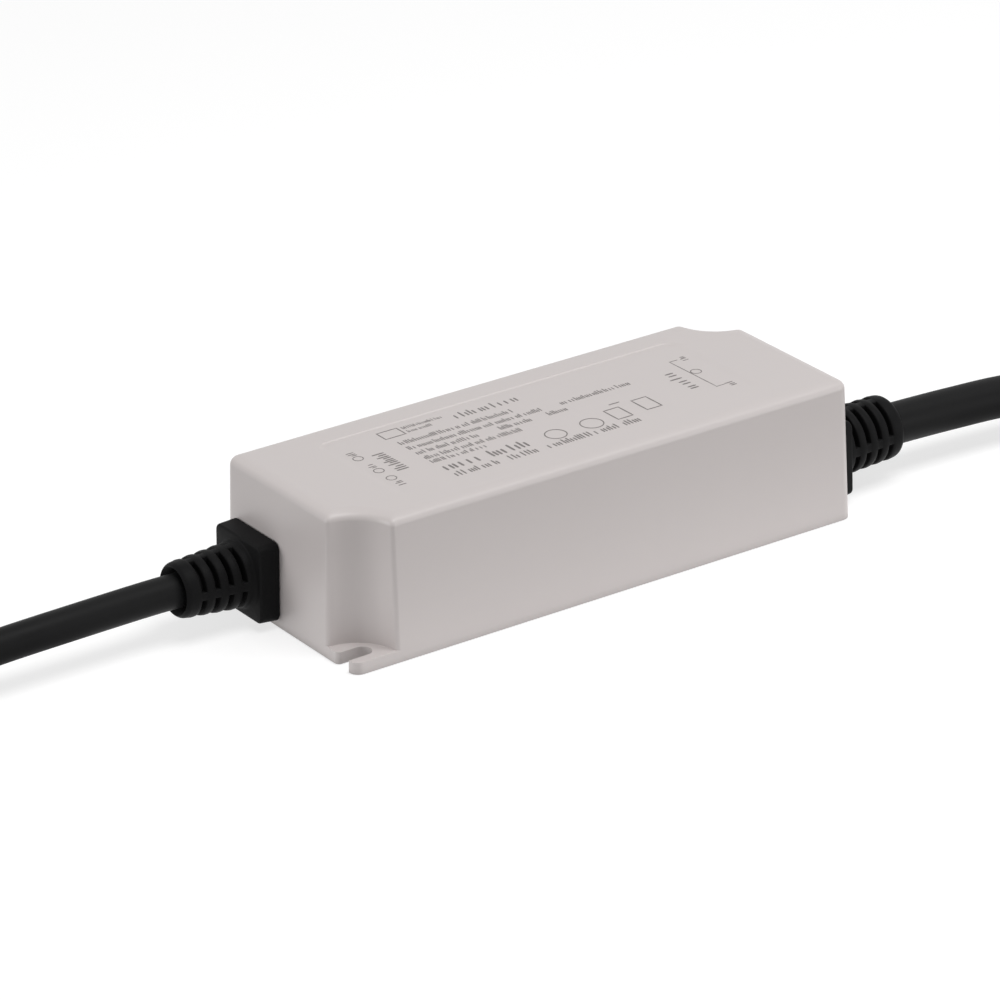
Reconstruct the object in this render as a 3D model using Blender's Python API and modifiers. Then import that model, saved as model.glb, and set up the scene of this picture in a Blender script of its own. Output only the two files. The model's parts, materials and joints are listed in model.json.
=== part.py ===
"""LED driver: a moulded case with scalloped corners, two slotted cable glands and a potted board.

The frame stands on the middle of the case's underside. +X points to the output end, +Z up.
Sizes are in millimetres and are turned into metres when a mesh is made.
"""
import math

import bmesh
import bpy
from mathutils import Matrix, Vector

MM = 0.001

# Gap between pieces that touch on the real object
CLEARANCE = 0.3

# Case: a tub that is open underneath
CASE_LENGTH = 150.0
CASE_WIDTH = 57.5
CASE_HEIGHT = 37.4
CASE_WALL = 2.2
CASE_ROOF = 2.4
DRAFT_DEGREES = 1.47
CORNER_RADIUS = 3.0
TOP_FILLET = 2.8
INNER_CORNER_RADIUS = 1.0

# Scalloped corners with a slotted mounting ear below each
NOTCH_RADIUS = 12.0
EAR_THICKNESS = 3.5
EAR_SLOT_WIDTH = 5.3
EAR_SLOT_INSET = 4.85
EAR_SLOT_REACH = 8.55

# Shallow panel sunk into the roof
PANEL_END_MARGIN = 21.5
PANEL_SIDE_MARGIN = 9.85
PANEL_DEPTH = 0.25
PANEL_CORNER_RADIUS = 1.5

# Ribs inside the long walls: their spacing is a share of the case's length
RIB_SPACING_SHARE = 0.28
RIB_WIDTH = 2.0
RIB_DEPTH = 1.6
RIB_PAIRS = 3

# Cover that closes the tub from below
COVER_RECESS = 0.5
COVER_THICKNESS = 2.0
POST_RADIUS = 2.0
POST_PLACE = (0.451, 0.795)

# Board
BOARD_GAP = 2.8
BOARD_THICKNESS = 1.6
BOARD_SIDE_GAP = 0.6
BOARD_END_GAP = 1.0

# Cable glands, one in each end wall
GLAND_HEIGHT = 12.2
INPUT_GLAND_REAR_MARGIN = 14.65
OUTPUT_GLAND_FRONT_MARGIN = 16.25
GLAND_FLANGE_WIDTH = 20.7
GLAND_FLANGE_HEIGHT = 21.1
GLAND_FLANGE_THICKNESS = 5.2
GLAND_FLANGE_RADIUS = 2.2
GLAND_FLANGE_TAPER = 0.3
GLAND_FLANGE_EDGE = 0.6
GLAND_NECK_RADIUS = 6.5
GLAND_COLLAR_WIDTH = 18.0
GLAND_COLLAR_HEIGHT = 17.6
GLAND_COLLAR_THICKNESS = 2.2
BOOT_LENGTH = 18.75
BOOT_ROOT_FILLET = 0.9
BOOT_TIP_ROUND = 2.0
INPUT_BOOT_ROOT_RADIUS = 8.35
INPUT_BOOT_TIP_RADIUS = 7.0
OUTPUT_BOOT_ROOT_RADIUS = 8.65
OUTPUT_BOOT_TIP_RADIUS = 8.35
BOOT_SLOT_ROWS = 4
BOOT_SLOT_WIDTH = 1.35
BOOT_SLOT_PITCH = 3.65
BOOT_FIRST_SLOT = 2.85
BOOT_SLOT_ARC_DEGREES = 73.0
BOOT_SLOT_FLOOR = 1.1
MOUTH_DEPTH = 2.4
MOUTH_GAP = 0.6

# Cables
INPUT_CABLE_RADIUS = 4.3
OUTPUT_CABLE_RADIUS = 5.45
CORE_RADIUS = 1.2
CORE_LENGTH = 34.0
CORE_BEND_AT = 0.4
CORE_BEND_SPREAD = 1.5
CORE_END_SPREAD = 5.0
TIP_RADIUS = 0.7
TIP_LENGTH = 7.0
LEAD_RADIUS = 1.1
LEAD_SPACING = 3.4
LEAD_TAIL = 1.2
LEAD_SHOULDER = 1.6
LEAD_DROP = 1.2

# Routes of the two cables beyond their first point, which the gland gives: distance out from the
# end of the case, distance aside from the gland's middle, and height above the floor
INPUT_CABLE_ROUTE = [
    (31.0, 0.0, 12.9),
    (49.0, 0.0, 12.7),
    (71.0, 0.1, 12.2),
    (91.0, 1.1, 10.6),
    (111.0, 3.3, 7.6),
    (131.0, 6.1, 5.2),
    (153.0, 7.9, 4.55),
    (179.0, 6.9, 4.5),
    (201.0, 3.9, 4.5),
    (221.0, 0.3, 4.5),
]
OUTPUT_CABLE_ROUTE = [
    (31.0, 0.0, 12.9),
    (45.0, -0.5, 12.55),
    (61.0, -1.5, 12.0),
    (81.0, -3.5, 10.1),
    (101.0, -6.3, 7.7),
    (123.0, -8.8, 6.1),
    (149.0, -9.4, 5.65),
    (177.0, -7.5, 5.65),
    (201.0, -4.4, 5.65),
    (221.0, -0.9, 5.65),
]
ROUTE_STEP_DIAMETERS = 2.0

# Parts on the board. Places, lengths and widths are shares of the board's half length and half
# width, a radius is a share of its half width, and heights and thicknesses are in millimetres.
BOARD_ASPECT = 0.375
LEAD_LANDING = 0.095
PIN_RADIUS = 0.45
PIN_TAIL = 1.4
PIN_SIDES = 6
BLOCK_EDGE = 0.4
FUSE_RADIUS = 0.155
FUSE_HEIGHT = 8.0
FUSE_PIN_SPAN = 4.0
FUSE_Y = 0.66
VARISTOR_RADIUS = 0.213
VARISTOR_THICKNESS = 4.4
VARISTOR_Y = 0.14
THERMISTOR_RADIUS = 0.179
THERMISTOR_THICKNESS = 4.4
THERMISTOR_Y = -0.334
FIRST_ROW_OFFSET = 0.131
FILTER_OFFSET = 0.371
FILTER_CAPACITOR_SIZE = (0.247, 0.31, 14.0)
FILTER_CAPACITOR_PIN_SPAN = 0.204
FILTER_CAPACITOR_Y = 0.582
FILTER_CHOKE_Y = -0.14
FILTER_CORE_RADIUS = 0.334
FILTER_CORE_BORE = 0.179
FILTER_CORE_HEIGHT = 7.0
FILTER_WINDING_BUILD = 1.3
FILTER_WINDING_ARC_DEGREES = 128.0
FILTER_PIN_INSET_DEGREES = 8.0
BRIDGE_SIZE = (0.262, 0.14, 14.0)
BRIDGE_PIN_SPAN = 0.218
BRIDGE_X = -0.138
BOOST_SIZE = (0.247, 0.582, 8.0)
BOOST_PLACE = (-0.153, 0.179)
BULK_RADIUS = 0.31
BULK_HEIGHT = 21.5
BULK_PIN_SPAN = 7.5
BULK_X = -0.153
TRANSFORMER_SIZE = (0.349, 0.854, 10.0)
TRANSFORMER_PLACE = (0.211, 0.0)
CORE_LEG = 0.26
BOBBIN_WALL = 0.8
BOBBIN_PIN_INSET = 2.0
HEATSINK_THICKNESS = 2.0
HEATSINK_FOOT = 2.6
HEATSINK_PIN_INSET = 2.0
SWITCH_HEATSINK_SIZE = (0.291, 20.0)
SWITCH_X = 0.211
RECTIFIER_HEATSINK_SIZE = (0.262, 18.0)
RECTIFIER_OFFSET = 0.291
TRANSISTOR_SIZE = (0.145, 4.4, 15.0)
TRANSISTOR_PITCH = 2.54
EDGE_MARGIN = 2.0
CONTROL_CHIP_SIZE = (0.144, 0.151, 1.6)
CONTROL_CHIP_PIN_SPAN = 0.111
CONTROL_CHIP_PLACE = (0.109, -0.698)
OPTOCOUPLER_SIZE = (0.067, 0.248, 3.5)
OPTOCOUPLER_PIN_SPANS = (0.037, 0.202)
OPTOCOUPLER_PLACE = (0.291, -0.698)
OUTPUT_CAPACITOR_RADIUS = 0.194
OUTPUT_CAPACITOR_HEIGHT = 18.0
OUTPUT_CAPACITOR_PIN_SPAN = 5.0
OUTPUT_CAPACITOR_OFFSET = 0.32
OUTPUT_CAPACITOR_YS = (-0.171, -0.636)
OUTPUT_CHOKE_RADIUS = 0.233
OUTPUT_CHOKE_HEIGHT = 12.0
OUTPUT_CHOKE_PIN_SPAN = 6.0
OUTPUT_CHOKE_Y = 0.155
SAFETY_CAPACITOR_RADIUS = 0.124
SAFETY_CAPACITOR_THICKNESS = 3.4
SAFETY_CAPACITOR_Y = -0.799

# Levels and half sizes that follow from the values above
DRAFT = math.tan(math.radians(DRAFT_DEGREES))
HALF_LENGTH = CASE_LENGTH / 2
HALF_WIDTH = CASE_WIDTH / 2
PANEL_LENGTH = CASE_LENGTH - 2 * PANEL_END_MARGIN
PANEL_WIDTH = CASE_WIDTH - 2 * PANEL_SIDE_MARGIN
INPUT_GLAND_Y = HALF_WIDTH - INPUT_GLAND_REAR_MARGIN
OUTPUT_GLAND_Y = OUTPUT_GLAND_FRONT_MARGIN - HALF_WIDTH
CEILING = CASE_HEIGHT - CASE_ROOF
COVER_TOP = COVER_RECESS + COVER_THICKNESS
BOARD_BOTTOM = COVER_TOP + BOARD_GAP
BOARD_TOP = BOARD_BOTTOM + BOARD_THICKNESS
STAND = BOARD_TOP + CLEARANCE
BOARD_HALF_WIDTH = HALF_WIDTH - BOARD_TOP * DRAFT - CASE_WALL - BOARD_SIDE_GAP
END_WALL = HALF_LENGTH - GLAND_HEIGHT * DRAFT
COLLAR_FACE = END_WALL - CASE_WALL - CLEARANCE - GLAND_COLLAR_THICKNESS
BOARD_HALF_LENGTH = COLLAR_FACE - GLAND_COLLAR_HEIGHT / 2 * DRAFT - BOARD_END_GAP
ROUND_UNIT = min(BOARD_HALF_WIDTH, BOARD_HALF_LENGTH * BOARD_ASPECT)
OUTPUT_LANDING = BOARD_HALF_LENGTH * (1 - LEAD_LANDING)
INPUT_LANDING = -OUTPUT_LANDING
BOOT_TIP = CLEARANCE + GLAND_FLANGE_THICKNESS + BOOT_LENGTH

# How far a cutter or a joined piece reaches past the face that it meets
OVERREACH = 1.0

# A pin's hole is cut by a prism whose flats, not corners, keep the clearance
HOLE_CORNER = 1 / math.cos(math.pi / PIN_SIDES)

ARC_SEGMENTS = 6
TURN_SEGMENTS = 32
CAN_SEGMENTS = 20


def along(share):
    """A share of the board's half length, in millimetres."""
    return share * BOARD_HALF_LENGTH


def across(share):
    """A share of the board's half width, in millimetres."""
    return share * BOARD_HALF_WIDTH


def clear_scene():
    for item in list(bpy.data.objects):
        bpy.data.objects.remove(item, do_unlink=True)


def make_collection(name):
    collection = bpy.data.collections.new(name)
    bpy.context.scene.collection.children.link(collection)
    return collection


def make_material(name, color, roughness, metallic=0.0):
    material = bpy.data.materials.new(name)
    material.use_nodes = True
    shader = material.node_tree.nodes["Principled BSDF"]
    shader.inputs["Base Color"].default_value = (*color, 1.0)
    shader.inputs["Roughness"].default_value = roughness
    shader.inputs["Metallic"].default_value = metallic
    material.diffuse_color = (*color, 1.0)
    return material


class Workshop:
    """Holds the two collections and turns meshes into named pieces or cutters."""

    def __init__(self):
        self.pieces = make_collection("led_driver")
        self.cutters = make_collection("cutters")
        self.materials = {}

    def finish(self, name, color, roughness, metallic=0.0):
        self.materials[name] = make_material(name, color, roughness, metallic)

    def piece(self, name, data, material):
        item = bpy.data.objects.new(name, data)
        data.materials.clear()
        data.materials.append(self.materials[material])
        self.pieces.objects.link(item)
        return item

    def cutter(self, name, data):
        item = bpy.data.objects.new(name, data)
        item.hide_render = True
        item.display_type = "WIRE"
        self.cutters.objects.link(item)
        return item


def to_mesh(name, bm):
    bmesh.ops.recalc_face_normals(bm, faces=bm.faces)
    mesh = bpy.data.meshes.new(name)
    bm.to_mesh(mesh)
    bm.free()
    return mesh


def smooth(item, degrees=35.0):
    item.data.shade_smooth()
    item.data.set_sharp_from_angle(angle=math.radians(degrees))


def boolean(target, tool, operation):
    modifier = target.modifiers.new(f"{operation.lower()}_{tool.name}", "BOOLEAN")
    modifier.operation = operation
    modifier.object = tool


def arc(center_x, center_y, radius, start, end, segments=ARC_SEGMENTS):
    """Points on a circle from one angle to another, both in degrees."""
    points = []
    for step in range(segments + 1):
        angle = math.radians(start + (end - start) * step / segments)
        points.append((center_x + radius * math.cos(angle), center_y + radius * math.sin(angle)))
    return points


def rounded_rectangle(length, width, radius):
    x = length / 2 - radius
    y = width / 2 - radius
    corners = ((x, y, 0), (-x, y, 90), (-x, -y, 180), (x, -y, 270))
    points = []
    for center_x, center_y, start in corners:
        points += arc(center_x, center_y, radius, start, start + 90)
    return points


def scalloped_outline(inset, radius):
    """The case's plan, moved in by inset, with the two notched corners cut concave."""
    x = HALF_LENGTH - inset
    y = HALF_WIDTH - inset
    notch = NOTCH_RADIUS + inset
    lean = math.degrees(math.asin(inset / notch))
    points = []
    for turn in (1, -1):
        points += arc(turn * HALF_LENGTH, turn * HALF_WIDTH, notch,
                      270 - lean - (0 if turn == 1 else 180),
                      180 + lean - (0 if turn == 1 else 180))
        points += arc(-turn * (x - radius), turn * (y - radius), radius,
                      90 if turn == 1 else 270, 180 if turn == 1 else 360)
    return points


def prism_mesh(name, outline, bottom, top, draft=0.0, fillet=0.0):
    """An outline pulled up along Z. Draft moves the upper rim in; fillet rounds it."""
    bm = bmesh.new()
    floor = bm.faces.new([bm.verts.new((x * MM, y * MM, bottom * MM)) for x, y in outline])
    pulled = bmesh.ops.extrude_face_region(bm, geom=[floor])["geom"]
    rim = [item for item in pulled if isinstance(item, bmesh.types.BMVert)]
    for vert in rim:
        vert.co.x -= math.copysign(draft * MM, vert.co.x)
        vert.co.y -= math.copysign(draft * MM, vert.co.y)
        vert.co.z = top * MM
    bmesh.ops.recalc_face_normals(bm, faces=bm.faces)
    if fillet:
        upper = set(rim)
        edges = [edge for edge in bm.edges if all(vert in upper for vert in edge.verts)]
        bmesh.ops.bevel(bm, geom=edges, offset=fillet * MM, segments=4, profile=0.5,
                        affect="EDGES", clamp_overlap=False)
    return to_mesh(name, bm)


def box_mesh(name, size, center):
    bm = bmesh.new()
    bmesh.ops.create_cube(bm, size=MM)
    bmesh.ops.scale(bm, vec=size, verts=bm.verts)
    bmesh.ops.translate(bm, vec=Vector(center) * MM, verts=bm.verts)
    return to_mesh(name, bm)


def cylinder_mesh(name, radius, length, center, axis="Z", sides=24):
    turns = {"X": Matrix.Rotation(math.pi / 2, 4, "Y"), "Y": Matrix.Rotation(math.pi / 2, 4, "X"),
             "Z": Matrix.Identity(4)}
    bm = bmesh.new()
    bmesh.ops.create_cone(bm, cap_ends=True, segments=sides, radius1=radius * MM,
                          radius2=radius * MM, depth=length * MM)
    bmesh.ops.transform(bm, matrix=turns[axis], verts=bm.verts)
    bmesh.ops.translate(bm, vec=Vector(center) * MM, verts=bm.verts)
    return to_mesh(name, bm)


def add_ring_sector(bm, inner, outer, bottom, top, start, sweep, steps):
    """A rectangle at the start angle, spun about Z."""
    turn = Matrix.Rotation(math.radians(start), 4, "Z")
    corners = ((inner, bottom), (outer, bottom), (outer, top), (inner, top))
    verts = [bm.verts.new(turn @ Vector((radius * MM, 0, level * MM))) for radius, level in corners]
    face = bm.faces.new(verts)
    bmesh.ops.spin(bm, geom=[face, *face.edges, *face.verts], axis=(0, 0, 1), cent=(0, 0, 0),
                   angle=math.radians(sweep), steps=steps, use_duplicate=False)


def turned(workshop, name, profile, material=None, closed=False, steps=TURN_SEGMENTS):
    """A profile of (radius, height) points, turned about Z by a Screw modifier.

    Without a material it is a cutter. The profile runs down its outer side.
    """
    mesh = bpy.data.meshes.new(name)
    verts = [(radius * MM, 0.0, height * MM) for radius, height in profile]
    edges = [(i, i + 1) for i in range(len(verts) - 1)]
    if closed:
        edges.append((len(verts) - 1, 0))
    mesh.from_pydata(verts, edges, [])
    item = workshop.piece(name, mesh, material) if material else workshop.cutter(name, mesh)
    screw = item.modifiers.new("turn", "SCREW")
    screw.steps = steps
    screw.render_steps = steps
    screw.use_merge_vertices = True
    screw.merge_threshold = 0.00001
    return item


def smooth_route(points, step):
    """Catmull-Rom curve through the points, sampled about every step millimetres."""
    route = [Vector(point) for point in points]
    padded = [2 * route[0] - route[1], *route, 2 * route[-1] - route[-2]]
    samples = []
    for before, start, end, after in zip(padded, padded[1:], padded[2:], padded[3:]):
        count = max(1, round((end - start).length / step))
        for index in range(count):
            t = index / count
            samples.append(0.5 * (2 * start + (end - before) * t
                                  + (2 * before - 5 * start + 4 * end - after) * t ** 2
                                  + (3 * start - before - 3 * end + after) * t ** 3))
    samples.append(route[-1])
    return samples


def tube(workshop, name, points, radius, material, bevel_resolution=2):
    curve = bpy.data.curves.new(name, "CURVE")
    curve.dimensions = "3D"
    curve.bevel_depth = radius * MM
    curve.bevel_resolution = bevel_resolution
    curve.use_fill_caps = True
    spline = curve.splines.new("POLY")
    spline.points.add(len(points) - 1)
    for target, point in zip(spline.points, points):
        target.co = (*(Vector(point) * MM), 1.0)
    return workshop.piece(name, curve, material)


def wall_frame(side, y):
    """Frame of a gland: origin on the end wall's outer face, Z out along the wall's normal, Y up."""
    lean = math.radians(DRAFT_DEGREES)
    out = Vector((side * math.cos(lean), 0, math.sin(lean)))
    up = Vector((-side * math.sin(lean), 0, math.cos(lean)))
    sideways = up.cross(out)
    frame = Matrix((sideways, up, out)).transposed().to_4x4()
    frame.translation = Vector((side * END_WALL, y, GLAND_HEIGHT)) * MM
    return frame


def point_out(frame, out, sideways=0.0):
    """A point given in a gland's frame, in millimetres of the driver's frame."""
    return frame @ Vector((sideways * MM, 0.0, out * MM)) / MM


def neck_outline(radius, foot):
    """A U turned over: a half circle on two straight sides that run down to the foot."""
    return [(radius, foot), *arc(0, 0, radius, 0, 180, 12), (-radius, foot)]


def make_finishes(workshop):
    finishes = {
        "case_plastic": ((0.62, 0.58, 0.57), 0.42, 0.0),
        "cover_plastic": ((0.58, 0.55, 0.54), 0.5, 0.0),
        "compound": ((0.08, 0.08, 0.085), 0.55, 0.0),
        "board_laminate": ((0.06, 0.22, 0.1), 0.5, 0.0),
        "gland_rubber": ((0.02, 0.02, 0.021), 0.5, 0.0),
        "jacket_black": ((0.018, 0.018, 0.02), 0.45, 0.0),
        "insulation_brown": ((0.2, 0.07, 0.03), 0.4, 0.0),
        "insulation_blue": ((0.03, 0.13, 0.5), 0.4, 0.0),
        "insulation_green_yellow": ((0.3, 0.5, 0.06), 0.4, 0.0),
        "insulation_red": ((0.5, 0.03, 0.02), 0.4, 0.0),
        "insulation_black": ((0.02, 0.02, 0.02), 0.4, 0.0),
        "tinned_copper": ((0.75, 0.74, 0.7), 0.3, 1.0),
        "component_black": ((0.03, 0.03, 0.03), 0.5, 0.0),
        "component_blue": ((0.03, 0.15, 0.45), 0.4, 0.0),
        "component_green": ((0.1, 0.3, 0.16), 0.4, 0.0),
        "component_yellow": ((0.75, 0.6, 0.1), 0.45, 0.0),
        "ferrite": ((0.1, 0.1, 0.1), 0.6, 0.0),
        "enamelled_copper": ((0.6, 0.25, 0.09), 0.3, 1.0),
        "winding_tape": ((0.8, 0.65, 0.15), 0.45, 0.0),
        "capacitor_sleeve": ((0.05, 0.05, 0.09), 0.35, 0.0),
        "heatsink_aluminium": ((0.75, 0.76, 0.77), 0.35, 1.0),
    }
    for name, (color, roughness, metallic) in finishes.items():
        workshop.finish(name, color, roughness, metallic)


def end_name(side):
    return "output" if side > 0 else "input"


def face_name(side):
    return "rear" if side > 0 else "front"


def make_rib_boxes(workshop, name, growth):
    """Rib blocks on both long walls, grown by a clearance, reaching up past the ceiling."""
    boxes = []
    inner_face = HALF_WIDTH - BOARD_TOP * DRAFT - CASE_WALL
    bottom = STAND - growth
    top = CASE_HEIGHT
    for index in range(RIB_PAIRS):
        x = (index - (RIB_PAIRS - 1) / 2) * RIB_SPACING_SHARE * CASE_LENGTH
        for side in (1, -1):
            y = side * (inner_face - RIB_DEPTH - growth + CASE_WALL)
            size = (RIB_WIDTH + 2 * growth, 2 * CASE_WALL, top - bottom)
            center = (x, y, (top + bottom) / 2)
            label = f"{name}_{index}_{face_name(side)}"
            boxes.append(workshop.cutter(label, box_mesh(label, size, center)))
    return boxes


def make_cavity(workshop):
    """The room inside the tub, with the ribs already taken out of it."""
    below = -OVERREACH
    outline = scalloped_outline(CASE_WALL + below * DRAFT, INNER_CORNER_RADIUS)
    mesh = prism_mesh("cavity", outline, below, CEILING, draft=(CEILING - below) * DRAFT)
    cavity = workshop.cutter("cavity", mesh)
    for rib in make_rib_boxes(workshop, "rib", 0.0):
        boolean(cavity, rib, "DIFFERENCE")
    return cavity


def make_notch_cutter(workshop, side):
    """A turned cutter: straight above the ear, then flared so that the roof's rim is rounded."""
    flare = arc(NOTCH_RADIUS + TOP_FILLET, CASE_HEIGHT - TOP_FILLET, TOP_FILLET, 90, 180)
    over = CASE_HEIGHT + OVERREACH
    profile = [(0.0, over), (NOTCH_RADIUS + TOP_FILLET, over), *flare,
               (NOTCH_RADIUS, EAR_THICKNESS), (0.0, EAR_THICKNESS)]
    label = f"notch_{end_name(side)}"
    cutter = turned(workshop, label, profile, steps=2 * TURN_SEGMENTS)
    cutter.location = Vector((side * HALF_LENGTH, side * HALF_WIDTH, 0.0)) * MM
    return cutter


def make_ear_slot_cutter(workshop, side):
    """A slot with one round end, open to the end face of the case."""
    radius = EAR_SLOT_WIDTH / 2
    round_x = EAR_SLOT_REACH - radius
    outline = [(-radius, -radius), *arc(round_x, 0, radius, -90, 90, 8), (-radius, radius)]
    label = f"ear_slot_{end_name(side)}"
    cutter = workshop.cutter(label, prism_mesh(label, outline, -OVERREACH, EAR_THICKNESS + OVERREACH))
    turn = 0.0 if side == -1 else math.pi
    place = Vector((side * HALF_LENGTH, side * (HALF_WIDTH - EAR_SLOT_INSET), 0.0)) * MM
    cutter.matrix_world = Matrix.Translation(place) @ Matrix.Rotation(turn, 4, "Z")
    return cutter


def make_case(workshop, frames):
    outline = rounded_rectangle(CASE_LENGTH, CASE_WIDTH, CORNER_RADIUS)
    mesh = prism_mesh("case_shell", outline, 0.0, CASE_HEIGHT, draft=CASE_HEIGHT * DRAFT,
                      fillet=TOP_FILLET)
    case = workshop.piece("case_shell", mesh, "case_plastic")
    boolean(case, make_cavity(workshop), "DIFFERENCE")
    for side in (-1, 1):
        boolean(case, make_notch_cutter(workshop, side), "DIFFERENCE")
        boolean(case, make_ear_slot_cutter(workshop, side), "DIFFERENCE")
    panel = rounded_rectangle(PANEL_LENGTH, PANEL_WIDTH, PANEL_CORNER_RADIUS)
    sink = prism_mesh("panel", panel, CASE_HEIGHT - PANEL_DEPTH, CASE_HEIGHT + OVERREACH)
    boolean(case, workshop.cutter("panel", sink), "DIFFERENCE")
    for label, frame in frames.items():
        name = f"{label}_wall_gap"
        opening = neck_outline(GLAND_NECK_RADIUS + CLEARANCE, -2 * GLAND_HEIGHT)
        cutter = workshop.cutter(name, prism_mesh(name, opening, -2 * CASE_WALL, CASE_WALL))
        cutter.matrix_world = frame
        boolean(case, cutter, "DIFFERENCE")
    smooth(case)
    return case


def make_cover(workshop):
    """A plate let into the tub from below, with posts that hold the board up."""
    outline = scalloped_outline(CASE_WALL + CLEARANCE + COVER_TOP * DRAFT, INNER_CORNER_RADIUS)
    mesh = prism_mesh("base_cover", outline, COVER_RECESS, COVER_TOP)
    cover = workshop.piece("base_cover", mesh, "cover_plastic")
    bottom = COVER_TOP - COVER_THICKNESS / 2
    top = BOARD_BOTTOM - CLEARANCE
    post_x = along(POST_PLACE[0])
    post_y = across(POST_PLACE[1])
    for x in (-post_x, post_x):
        for y in (-post_y, post_y):
            label = f"post_{end_name(x)}_{face_name(y)}"
            post = cylinder_mesh(label, POST_RADIUS, top - bottom, (x, y, (top + bottom) / 2),
                                 sides=16)
            boolean(cover, workshop.cutter(label, post), "UNION")

    # Tabs that fill the foot of the two gland openings in the end walls
    for label, side, y in (("input", -1, INPUT_GLAND_Y), ("output", 1, OUTPUT_GLAND_Y)):
        inner = HALF_LENGTH - 2 * CASE_WALL
        outer = HALF_LENGTH - COVER_TOP * DRAFT - CLEARANCE
        size = (outer - inner, 2 * GLAND_NECK_RADIUS, COVER_THICKNESS)
        center = (side * (outer + inner) / 2, y, COVER_RECESS + COVER_THICKNESS / 2)
        tab = box_mesh(f"{label}_tab", size, center)
        boolean(cover, workshop.cutter(f"{label}_tab", tab), "UNION")
    return cover


def boot_profile(root_radius, tip_radius, cable_radius):
    """Half section of the boot: mouth, rounded tip, tapered side and fillet at the flange."""
    face = CLEARANCE + GLAND_FLANGE_THICKNESS
    root = face - OVERREACH
    mouth_floor = BOOT_TIP - MOUTH_DEPTH
    tip = arc(tip_radius - BOOT_TIP_ROUND, BOOT_TIP - BOOT_TIP_ROUND, BOOT_TIP_ROUND, 90, 0, 4)
    foot = arc(root_radius + BOOT_ROOT_FILLET, face + BOOT_ROOT_FILLET, BOOT_ROOT_FILLET, 180, 270, 3)
    return [(0.0, mouth_floor), (cable_radius + MOUTH_GAP, mouth_floor), *tip, *foot,
            (root_radius + BOOT_ROOT_FILLET, root), (0.0, root)]


def make_slot_cutters(workshop, name, floor_radius):
    """Rows of curved windows, four to a row, which leave four spines along the boot."""
    bm = bmesh.new()
    face = CLEARANCE + GLAND_FLANGE_THICKNESS
    reach = max(INPUT_BOOT_ROOT_RADIUS, OUTPUT_BOOT_ROOT_RADIUS) + 2 * BOOT_ROOT_FILLET
    spine = 90.0 - BOOT_SLOT_ARC_DEGREES
    for row in range(BOOT_SLOT_ROWS):
        middle = face + BOOT_FIRST_SLOT + row * BOOT_SLOT_PITCH
        for quarter in range(4):
            add_ring_sector(bm, floor_radius, reach, middle - BOOT_SLOT_WIDTH / 2,
                            middle + BOOT_SLOT_WIDTH / 2, quarter * 90 + spine / 2,
                            BOOT_SLOT_ARC_DEGREES, 6)
    return workshop.cutter(name, to_mesh(name, bm))


def make_gland(workshop, name, frame, root_radius, tip_radius, cable_radius):
    """Flange, neck in the wall, collar behind the wall and the slotted boot, moulded in one."""
    start = CLEARANCE
    flange = prism_mesh(name, rounded_rectangle(GLAND_FLANGE_WIDTH, GLAND_FLANGE_HEIGHT,
                                                GLAND_FLANGE_RADIUS),
                        start, start + GLAND_FLANGE_THICKNESS, draft=GLAND_FLANGE_TAPER,
                        fillet=GLAND_FLANGE_EDGE)
    gland = workshop.piece(name, flange, "gland_rubber")
    back = -(CASE_WALL + CLEARANCE)
    foot = -(GLAND_HEIGHT - COVER_TOP - CLEARANCE)
    neck = prism_mesh(f"{name}_neck", neck_outline(GLAND_NECK_RADIUS, foot),
                      back - GLAND_COLLAR_THICKNESS / 2, start + GLAND_FLANGE_THICKNESS / 2)
    collar = prism_mesh(f"{name}_collar", rounded_rectangle(GLAND_COLLAR_WIDTH, GLAND_COLLAR_HEIGHT,
                                                            GLAND_FLANGE_RADIUS),
                        back - GLAND_COLLAR_THICKNESS, back)
    boot = turned(workshop, f"{name}_boot", boot_profile(root_radius, tip_radius, cable_radius))
    tools = [workshop.cutter(f"{name}_neck", neck), workshop.cutter(f"{name}_collar", collar), boot]
    for tool in tools:
        boolean(gland, tool, "UNION")
    slots = make_slot_cutters(workshop, f"{name}_slots", cable_radius + BOOT_SLOT_FLOOR)
    boolean(gland, slots, "DIFFERENCE")
    for item in (gland, *tools, slots):
        item.matrix_world = frame
    smooth(gland)
    return gland


def make_cable(workshop, name, side, frame, route, radius, cores):
    """The jacket from the gland's mouth to its stripped end, and the cores that stand out of it."""
    first = point_out(frame, BOOT_TIP - MOUTH_DEPTH + CLEARANCE)
    stops = [(side * (HALF_LENGTH + out), first.y + aside, height) for out, aside, height in route]
    points = smooth_route([first, *stops], ROUTE_STEP_DIAMETERS * 2 * radius)
    tube(workshop, name, points, radius, "jacket_black", bevel_resolution=3)
    end = points[-1]
    out = (points[-1] - points[-2]).normalized()
    aside = Vector((-out.y, out.x, 0.0)).normalized()
    spacing = 2 * CORE_RADIUS + CLEARANCE
    for index, (core, material) in enumerate(cores):
        offset = index - (len(cores) - 1) / 2
        start = end + out * CLEARANCE + aside * offset * spacing
        bend = start + out * CORE_LENGTH * CORE_BEND_AT + aside * offset * CORE_BEND_SPREAD
        stop = start + out * CORE_LENGTH + aside * offset * CORE_END_SPREAD
        stop.z = CORE_RADIUS + CLEARANCE
        bend.z = (start.z + stop.z) / 2
        path = smooth_route([start, bend, stop], ROUTE_STEP_DIAMETERS * 2 * CORE_RADIUS)
        tube(workshop, core, path, CORE_RADIUS, material)
        heading = (path[-1] - path[-2]).normalized()
        heading.z = 0.0
        tip = [path[-1] + heading * CLEARANCE, path[-1] + heading * (CLEARANCE + TIP_LENGTH)]
        tube(workshop, f"{core}_tip", tip, TIP_RADIUS, "tinned_copper")


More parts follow.
